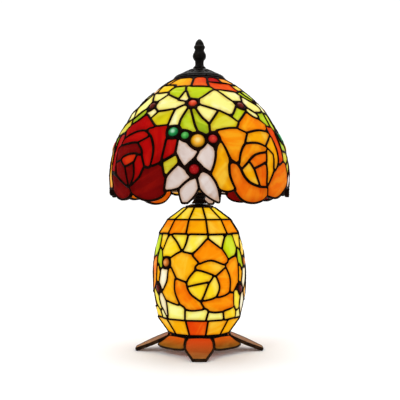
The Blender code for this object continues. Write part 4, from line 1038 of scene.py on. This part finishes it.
# silhouette of the finial and its tip, its rows of leaves (middle height, half height, depth, count and
# turn), and the bore that screws on to the harp (radius and top)
finialLook = dict(
    outline=[(6.9, 321.9), (7.1, 322.5), (5.9, 323.6), (5.1, 325.2), (5.0, 328.6), (5.4, 330.4), (6.6, 331.6),
             (7.7, 333.6), (8.0, 335.4), (7.6, 337.4), (6.3, 339.6), (5.4, 341.6), (5.5, 343.2), (6.4, 344.8),
             (6.7, 346.0), (5.6, 347.4), (5.1, 349.0), (4.2, 351.2), (2.9, 353.2), (1.5, 354.5)],
    tip=[(1.5, 354.5), (0.7, 354.85), (0, 354.9)],
    leaves=((335.2, 4.6, 0.75, 6, 0.0), (346.0, 4.2, 0.6, 5, 0.5), (325.6, 3.4, 0.3, 8, 0.0)),
    bore=(3.7, 334.2))


def finialRelief(angle, n, height):
    # overlapping leaves, each with a vein down its middle and fine ribs, on the outside only
    total = 0.0
    if n < 3:
        return total
    for middle, half, depth, count, turn in finialLook["leaves"]:
        share = max(0.0, 1 - ((height - middle) / half) ** 2)
        across = (angle * count / math.tau + turn) % 1 - 0.5
        total -= share * depth * (abs(2 * across) ** 3 + 0.45 * math.exp(-(across / 0.06) ** 2))
        total -= share * depth * 0.22 * (0.5 + 0.5 * math.sin(height * 5 + 14 * abs(across)))
    return total


bore, boreTop = finialLook["bore"]
finialShape = [(0, boreTop), (bore, boreTop), (bore, finialLook["outline"][0][1])]
finialShape += smoothProfile(finialLook["outline"], 4)[:-1] + finialLook["tip"]
mount(turnedPiece("leaf_finial", finialShape, metals["bronzePatina"], 72, finialRelief), "finial", ["finial"])

# the cap on the body and the spindle above it, with how many flutes go round each and how deep
neckLook = dict(
    cap=[(5.4, 163.2), (14.6, 163.2), (16.0, 163.4), (16.1, 164.3), (15.2, 164.8), (12.6, 165.3),
         (10.6, 166.0), (9.4, 166.5), (5.4, 166.5)], capFlutes=(24, 0.25),
    spindle=[(8.5, 166.9), (8.8, 167.6), (8.7, 168.4), (7.7, 169.3), (6.9, 170.4), (6.5, 172.0), (6.7, 173.2),
             (7.6, 174.0), (8.9, 174.8), (9.5, 175.9), (9.2, 177.0), (8.3, 177.7), (7.5, 178.4), (7.6, 179.0),
             (7.8, 179.6)], bore=5.4, spindleFlutes=(16, 0.22), bulgeAt=175.8, bulge=1.8)


def capFlutes(angle, n, height):
    count, depth = neckLook["capFlutes"]
    return -depth * (1 - math.cos(count * angle)) if 1 < n < 6 else 0.0


def spindleFlutes(angle, n, height):
    count, depth = neckLook["spindleFlutes"]
    share = max(0, 1 - ((height - neckLook["bulgeAt"]) / neckLook["bulge"]) ** 2)
    return -depth * (1 - math.cos(count * angle)) * share if n else 0.0


mount(turnedPiece("body_top_cap", neckLook["cap"], metals["bronzePatina"], 96, capFlutes), "lamp",
      ["body_cap"])
bore, spindle = neckLook["bore"], neckLook["spindle"]
spindle = [(bore, spindle[0][1])] + smoothProfile(spindle, 4) + [(bore, spindle[-1][1])]
mount(turnedPiece("turned_neck", spindle, metals["bronzePatina"], 64, spindleFlutes), "lamp", ["neck"])

# petals in their own plane: (u down and out from the root, half width) in mm, where they hang, and their
# glass, the lamplight on it and how far down that reaches; dim is how much less the petals at the sides get
petalLooks = {
    "long": dict(
        half=[(0.3, 13.3), (4, 14.8), (9, 15.9), (16, 16.3), (22, 15.9), (29, 13.9), (35, 11.3), (40, 9.2),
              (42.4, 8.1)], root=34.4, height=20.0, slope=23.2, thick=4.2, rim=1.2, turns=(0, 90, 180, 270),
        nodes=["long_petal_" + side for side in ("front", "right", "back", "left")],
        glass=tint("A2692E", "BC8444", "72481C", 0.6, 0.5, 0.35), scale=60.0, warm="C83C08", share=0.9,
        reach=36.0, dim=22.0),
    "short": dict(
        half=[(0.4, 13.7), (3.5, 15.5), (7, 17.1), (10.5, 18.9), (13.6, 21.2), (15.8, 21.0), (17.3, 16.5),
              (18.1, 8.5)], root=34.6, height=20.2, slope=43.0, thick=3.2, rim=1.0, turns=(45, 135, 225, 315),
        nodes=[f"short_petal_{k}" for k in (1, 2, 3, 4)],
        glass=tint("8E5C1A", "AC782C", "543610", 0.6, 0.5, 0.5), scale=70.0, warm="C8500A", share=0.85,
        reach=19.0, dim=0.0),
}


def petalMaterial(name, look):
    made, tree, shader = newMaterial(name)
    streaks = placeGroup(tree, streakyGlass, (-900, 100), Scale=look["scale"], **look["glass"]["colours"])
    mask = placeGroup(tree, petalGlow, (-900, -300), Low=0.0, High=look["reach"]).outputs["Mask"]
    share = maths(tree, "MULTIPLY", mask, look["share"], (-600, -300))
    colour = mixColours(tree, share, streaks.outputs["Colour"], rgb(look["warm"]), (-400, 100))
    glow = mixColours(tree, mask, (0, 0, 0, 1), colour, (-200, -200))
    feed(tree, shader, Base_Color=colour, Emission_Color=glow, Emission_Strength=look["glass"]["glow"],
         Roughness=0.3, Specular_IOR_Level=0.005)
    addBump(tree, shader, streaks.outputs["Ripple"], 0.3, 0.0006)
    return made


def addBead(bm, path, normal, across, deep, steps=10):
    # a rounded bead along a closed path, across wide in its plane and deep along the normal, in metres
    rings = []
    for n, at in enumerate(path):
        ahead = (path[(n + 1) % len(path)] - path[n - 1]).normalized()
        side = ahead.cross(normal).normalized()
        uneven = 1 + 0.09 * math.sin(n * 1.9) * math.sin(n * 0.7 + at.x * 90)
        ring = []
        for k in range(steps):
            a = math.tau * k / steps
            spot = at + side * across * uneven * math.cos(a) + normal * deep * math.sin(a)
            ring.append(bm.verts.new((spot.x, spot.y, max(spot.z, 0.0001))))
        rings.append(ring)
    for n, ring in enumerate(rings):
        after = rings[(n + 1) % len(rings)]
        for k in range(steps):
            bm.faces.new((ring[k], ring[(k + 1) % steps], after[(k + 1) % steps], after[k])).smooth = True


def sheetBorder(grid):
    return [row[0] for row in grid] + grid[-1][1:] + [row[-1] for row in grid[-2::-1]] + grid[0][-2:0:-1]


def petalPieces(kind, look):
    glass, rims = bmesh.new(), bmesh.new()
    layers = (glass.verts.layers.float_vector.new("paneGrain"), glass.verts.layers.float.new("paneDepth"),
              glass.verts.layers.float.new("petalDown"))
    half = smoothProfile(look["half"], 4)
    outline = [(u, v) for u, v in half + [(u, -v) for u, v in reversed(half)] if abs(v) > 0.3]
    middle = sum(u for u, _ in outline) / len(outline)
    slope = math.radians(look["slope"])
    sink, rows, halfCount = look["thick"] / 2, 7, len(outline) // 2

    def inset(share):
        # the outline drawn in by a share of the rim's width
        size = look["rim"] * share
        return [(u + (middle - u) * size / max(abs(middle - u), 6), v - math.copysign(size, v))
                for u, v in outline]

    for turn in look["turns"]:
        out = Vector((math.sin(math.radians(turn)), -math.cos(math.radians(turn)), 0))
        down = out * math.cos(slope) - Vector((0, 0, math.sin(slope)))
        across = Vector((0, 0, 1)).cross(out)
        normal = across.cross(down)
        normal = normal if normal.z > 0 else -normal
        root = out * look["root"] * mm + Vector((0, 0, look["height"] * mm))

        def spot(u, v, lift):
            return root + (down * u + across * v + normal * (lift - sink)) * mm

        path = [spot(u, v, 0) for u, v in inset(1.0)]
        addBead(rims, path, normal, look["rim"] * 0.95 * mm, sink * 0.98 * mm)
        seed = rng.uniform(0, 3)
        face = inset(0.9)
        sheets = []
        for side in (1, -1):
            sheet = []
            for (u0, v0), (u1, v1) in zip(face[:halfCount], face[halfCount:][::-1]):
                row = []
                for k in range(rows + 1):
                    t = k / rows
                    u, v = u0 + (u1 - u0) * t, v0 + (v1 - v0) * t
                    at = spot(u, v, side * (look["thick"] * 0.34 + 0.35 * math.sin(math.pi * t)))
                    vert = glass.verts.new((at.x, at.y, max(at.z, 0.0002)))
                    vert[layers[0]] = Vector((v * mm + seed, u * mm * 0.8 + seed, seed))
                    vert[layers[1]] = min(1.0, (1 - abs(2 * t - 1)) * 8)
                    # the lamp shines most to the front and back
                    vert[layers[2]] = u * 0.7 if turn % 180 == 0 else u + look["dim"]
                    row.append(vert)
                sheet.append(row)
            for a, b in zip(sheet, sheet[1:]):
                for k in range(rows):
                    corners = (a[k], a[k + 1], b[k + 1], b[k])
                    glass.faces.new(corners if side > 0 else corners[::-1]).smooth = True
            sheets.append(sheetBorder(sheet))
        top, bottom = sheets
        for k in range(len(top)):
            n = (k + 1) % len(top)
            glass.faces.new((top[k], top[n], bottom[n], bottom[k]))
    mount(meshPiece(kind + "_petals", glass, [petalMaterial(kind + "PetalGlass", look)]), "lamp",
          look["nodes"])
    mount(meshPiece(kind + "_petal_rims", rims, [metals["litPetalPatina"]]), "lamp", ())


print("base petals")
for kind, look in petalLooks.items():
    petalPieces(kind, look)


def threads(low, high, radius, depth, count):
    # points up a rolled lamp thread
    steps = count * 6
    return [(radius - depth * (0.5 - 0.5 * math.cos(math.tau * count * k / steps)),
             low + (high - low) * k / steps) for k in range(steps + 1)]


# outlines of the bulbs' glass, then the turned shapes, (radius, height) in mm: the piece's slot, body and
# finish, where it's centred and its outline from one end
bulbOutlines = {
    "upper": [(12.4, 230.1), (13.4, 232.4), (16.2, 237.0), (20.0, 243.2), (22.1, 249.6), (22.3, 255.0),
              (20.6, 262.4), (16.6, 268.6), (10.6, 273.0), (4.5, 274.6), (0, 274.8)],
    "lower": [(5.6, 80.1), (6.6, 81.8), (9.4, 86.8), (11.6, 92.4), (12.0, 98.4), (10.9, 105.6), (8.0, 112.4),
              (4.2, 117.6), (1.5, 119.6), (0, 119.9)],
}
fittingLooks = {
    "upper_bulb_glass": dict(slot="opal_bulb_glass", body="upper_bulb", material="upperBulb",
                             outline=smoothProfile(bulbOutlines["upper"], 5)),
    "upper_bulb_cap": dict(slot="brass", body="upper_bulb", material="zincSteel", outline=[
        (4.6, 203.8), (5.0, 205.0), (9.0, 206.6), *threads(207.4, 224.4, 12.9, 0.9, 6), (12.9, 225.2),
        (12.6, 229.6)]),
    "lower_bulb_glass": dict(slot="opal_bulb_glass", body="lower_bulb", material="lowerBulb", at=(0, 22, 0),
                             outline=smoothProfile(bulbOutlines["lower"], 4)),
    "lower_bulb_cap": dict(slot="brass", body="lower_bulb", material="zincSteel", at=(0, 22, 0), outline=[
        (2.2, 58.1), (2.6, 59.0), (4.6, 60.4), *threads(61.0, 75.6, 5.95, 0.55, 7), (5.95, 76.2),
        (5.7, 79.6)]),
    "switch_knob": dict(slot="black_phenolic", body="knob", material="blackPhenolic", at=(0, 0, 198.9),
                        sideways=True, sharp=50, ribs=(18, 0.32, 25, 32.5), outline=[
        (1.7, 9.4), (1.7, 22.8), (3.9, 23.1), (4.6, 23.8), (4.9, 25.0), (5.35, 25.8), (5.35, 31.6),
        (4.8, 33.0), (3.6, 33.8), (2.6, 33.9), (2.2, 33.4)]),
}


def gripRibs(ribs):
    # ribs round a knob between two places along it
    count, depth, start, end = ribs
    return lambda angle, n, along: -depth * (1 - math.cos(count * angle)) if start < along < end else 0.0


print("fittings")
finishes = dict(metals, upperBulb=bulbMaterial("upperBulb"), lowerBulb=bulbMaterial("lowerBulb"))
for node, look in fittingLooks.items():
    shape = [(0, look["outline"][0][1])] + look["outline"]
    if shape[-1][0] > 0:
        shape.append((0, shape[-1][1]))
    relief = gripRibs(look["ribs"]) if "ribs" in look else None
    piece = turnedPiece(node + "_shape", shape, finishes[look["material"]], 72, relief,
                        look.get("at", (0, 0, 0)), look.get("sideways", False), look.get("sharp", 40))
    mount(piece, look["body"], [node])

# half width of the harp at its foot, how far its sides bow out, its heights and the wire's radius, in mm
harpLook = dict(half=27.0, bow=5.0, foot=191.1, straight=207.1, shoulder=281.0, top=312.3, wire=1.6)


def harpWire():
    # the sprung wire as a smooth swept tube
    half, straight, shoulder, top = (harpLook[part] for part in ("half", "straight", "shoulder", "top"))
    leg = [(half, harpLook["foot"]), (half, straight)]
    leg += [(half + harpLook["bow"] * math.sin(math.pi * t), straight + (shoulder - straight) * t)
            for t in np.linspace(0, 1, 24)[1:-1]]
    leg += [(half * math.cos(a), shoulder + (top - shoulder) * math.sin(a))
            for a in np.linspace(0, math.pi / 2, 18)[:-1]]
    path = [Vector((x, 0, z)) for x, z in leg + [(0, top)] + [(-x, z) for x, z in leg[::-1]]]
    bm = bmesh.new()
    steps, across = 16, Vector((0, 1, 0))
    rings = []
    for n, at in enumerate(path):
        ahead = (path[min(n + 1, len(path) - 1)] - path[max(n - 1, 0)]).normalized()
        side = ahead.cross(across)
        rings.append([bm.verts.new((at + (side * math.cos(a) + across * math.sin(a)) * harpLook["wire"]) * mm)
                      for a in np.linspace(0, math.tau, steps, endpoint=False)])
    for before, after in zip(rings, rings[1:]):
        for k in range(steps):
            bm.faces.new((before[k], before[k - 1], after[k - 1], after[k])).smooth = True
    for ring in (rings[0], rings[-1]):
        bm.faces.new(ring)
    return meshPiece("harp_wire", bm, [metals["agedBrass"]])


mount(harpWire(), "lamp", ["harp"])

# parts shown as they are, by metal, with their sharp edges broken
nodeLooks = {
    "bronzePatina": ["base_ring", "finial_washer"],
    "agedBrass": ["crown_ring", "harp_sleeve_left", "harp_sleeve_right", "harp_stud", "saddle", "shade_rest",
                  "socket_cup", "socket_shell"],
    "zincSteel": ["base_plate", "bottom_nut", "bottom_washer", "bracket_nut", "centre_rod", "lamp_bracket"],
    "blackPhenolic": ["cord_bush", "lower_lamp_holder"],
}
edgeLook = dict(width=0.00025, segments=2, limit_method="ANGLE", angle_limit=math.radians(50))
for metal, nodes in nodeLooks.items():
    for node in nodes:
        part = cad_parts[node]
        part.data.materials.clear()
        part.data.materials.append(metals[metal])
        edge = part.modifiers.new("softEdge", "BEVEL")
        for name, value in edgeLook.items():
            setattr(edge, name, value)

viewLook = dict(floorGlow=0.04, sky=0.5, distance=0.88, height=0.162, lens=69.3, shift=(0.0015, 0.02))
# kind, place, power, size (an area's sides or a point's radius) and colour
lightLooks = {
    "keyLight": ("AREA", (-0.9, -1.1, 1.3), 8, (0.7, 0.7), (1, 1, 1)),
    "fillLight": ("AREA", (1.3, -0.9, 0.8), 5, (0.6, 1.0), (1, 1, 1)),
    "topLight": ("AREA", (0, 0.2, 1.6), 16, (1.2, 1.2), (1, 1, 1)),
    "upperBulbLight": ("POINT", (0, 0, 0.25), 0.6, 0.022, (1, 0.86, 0.62)),
}


def makeStage():
    # a pale floor that curves up behind the lamp
    bm = bmesh.new()
    flat, bend, halfWidth = 0.9, 0.6, 4
    profile = [(-3.0, 0.0), (flat, 0.0)]
    profile += [(flat + bend * math.sin(a), bend - bend * math.cos(a))
                for a in np.linspace(0.15, math.pi / 2, 10)]
    profile += [(flat + bend, 3.5)]
    rows = [[bm.verts.new((x, y, z)) for x in (-halfWidth, halfWidth)] for y, z in profile]
    for a, b in zip(rows, rows[1:]):
        bm.faces.new([a[0], a[1], b[1], b[0]]).smooth = True
    made, tree, shader = newMaterial("paleFloor")
    cloud = noiseMask(tree, ownPlace(tree), 3.0, 0.3, 0.7, (-700, 0), 2)
    colour = mixColours(tree, cloud, rgb("FBFBFB"), rgb("FFFFFF"), (-250, 0))
    feed(tree, shader, Base_Color=colour, Roughness=0.9, Emission_Color=white,
         Emission_Strength=viewLook["floorGlow"])
    floor = meshPiece("floor", bm, [made])


def addLight(name, kind, at, energy, size, colour):
    data = bpy.data.lights.new(name, kind)
    data.energy = energy
    data.color = colour
    if kind == "AREA":
        data.shape = "RECTANGLE"
        data.size, data.size_y = size
    else:
        data.shadow_soft_size = size
    light = bpy.data.objects.new(name, data)
    collection.objects.link(light)
    light.location = at
    towards = Vector((0, 0, 0.17)) - Vector(at)  # the middle of the lamp
    light.rotation_euler = towards.to_track_quat("-Z", "Y").to_euler()


def makeView():
    data = bpy.data.cameras.new("camera")
    data.lens = viewLook["lens"]
    data.sensor_width = 36
    data.shift_x, data.shift_y = viewLook["shift"]
    data.clip_start = 0.01
    camera = bpy.data.objects.new("camera", data)
    collection.objects.link(camera)
    camera.location = (0, -viewLook["distance"], viewLook["height"])
    camera.rotation_euler = (math.pi / 2, 0, 0)
    bpy.context.scene.camera = camera


print("floor, camera and lights")
makeStage()
makeView()
world = bpy.data.worlds.new("studio")
world.use_nodes = True
feed(world.node_tree, world.node_tree.nodes["Background"], Color=white, Strength=viewLook["sky"])
bpy.context.scene.world = world
bpy.context.scene.view_settings.view_transform = "Standard"
for name, look in lightLooks.items():
    addLight(name, *look)
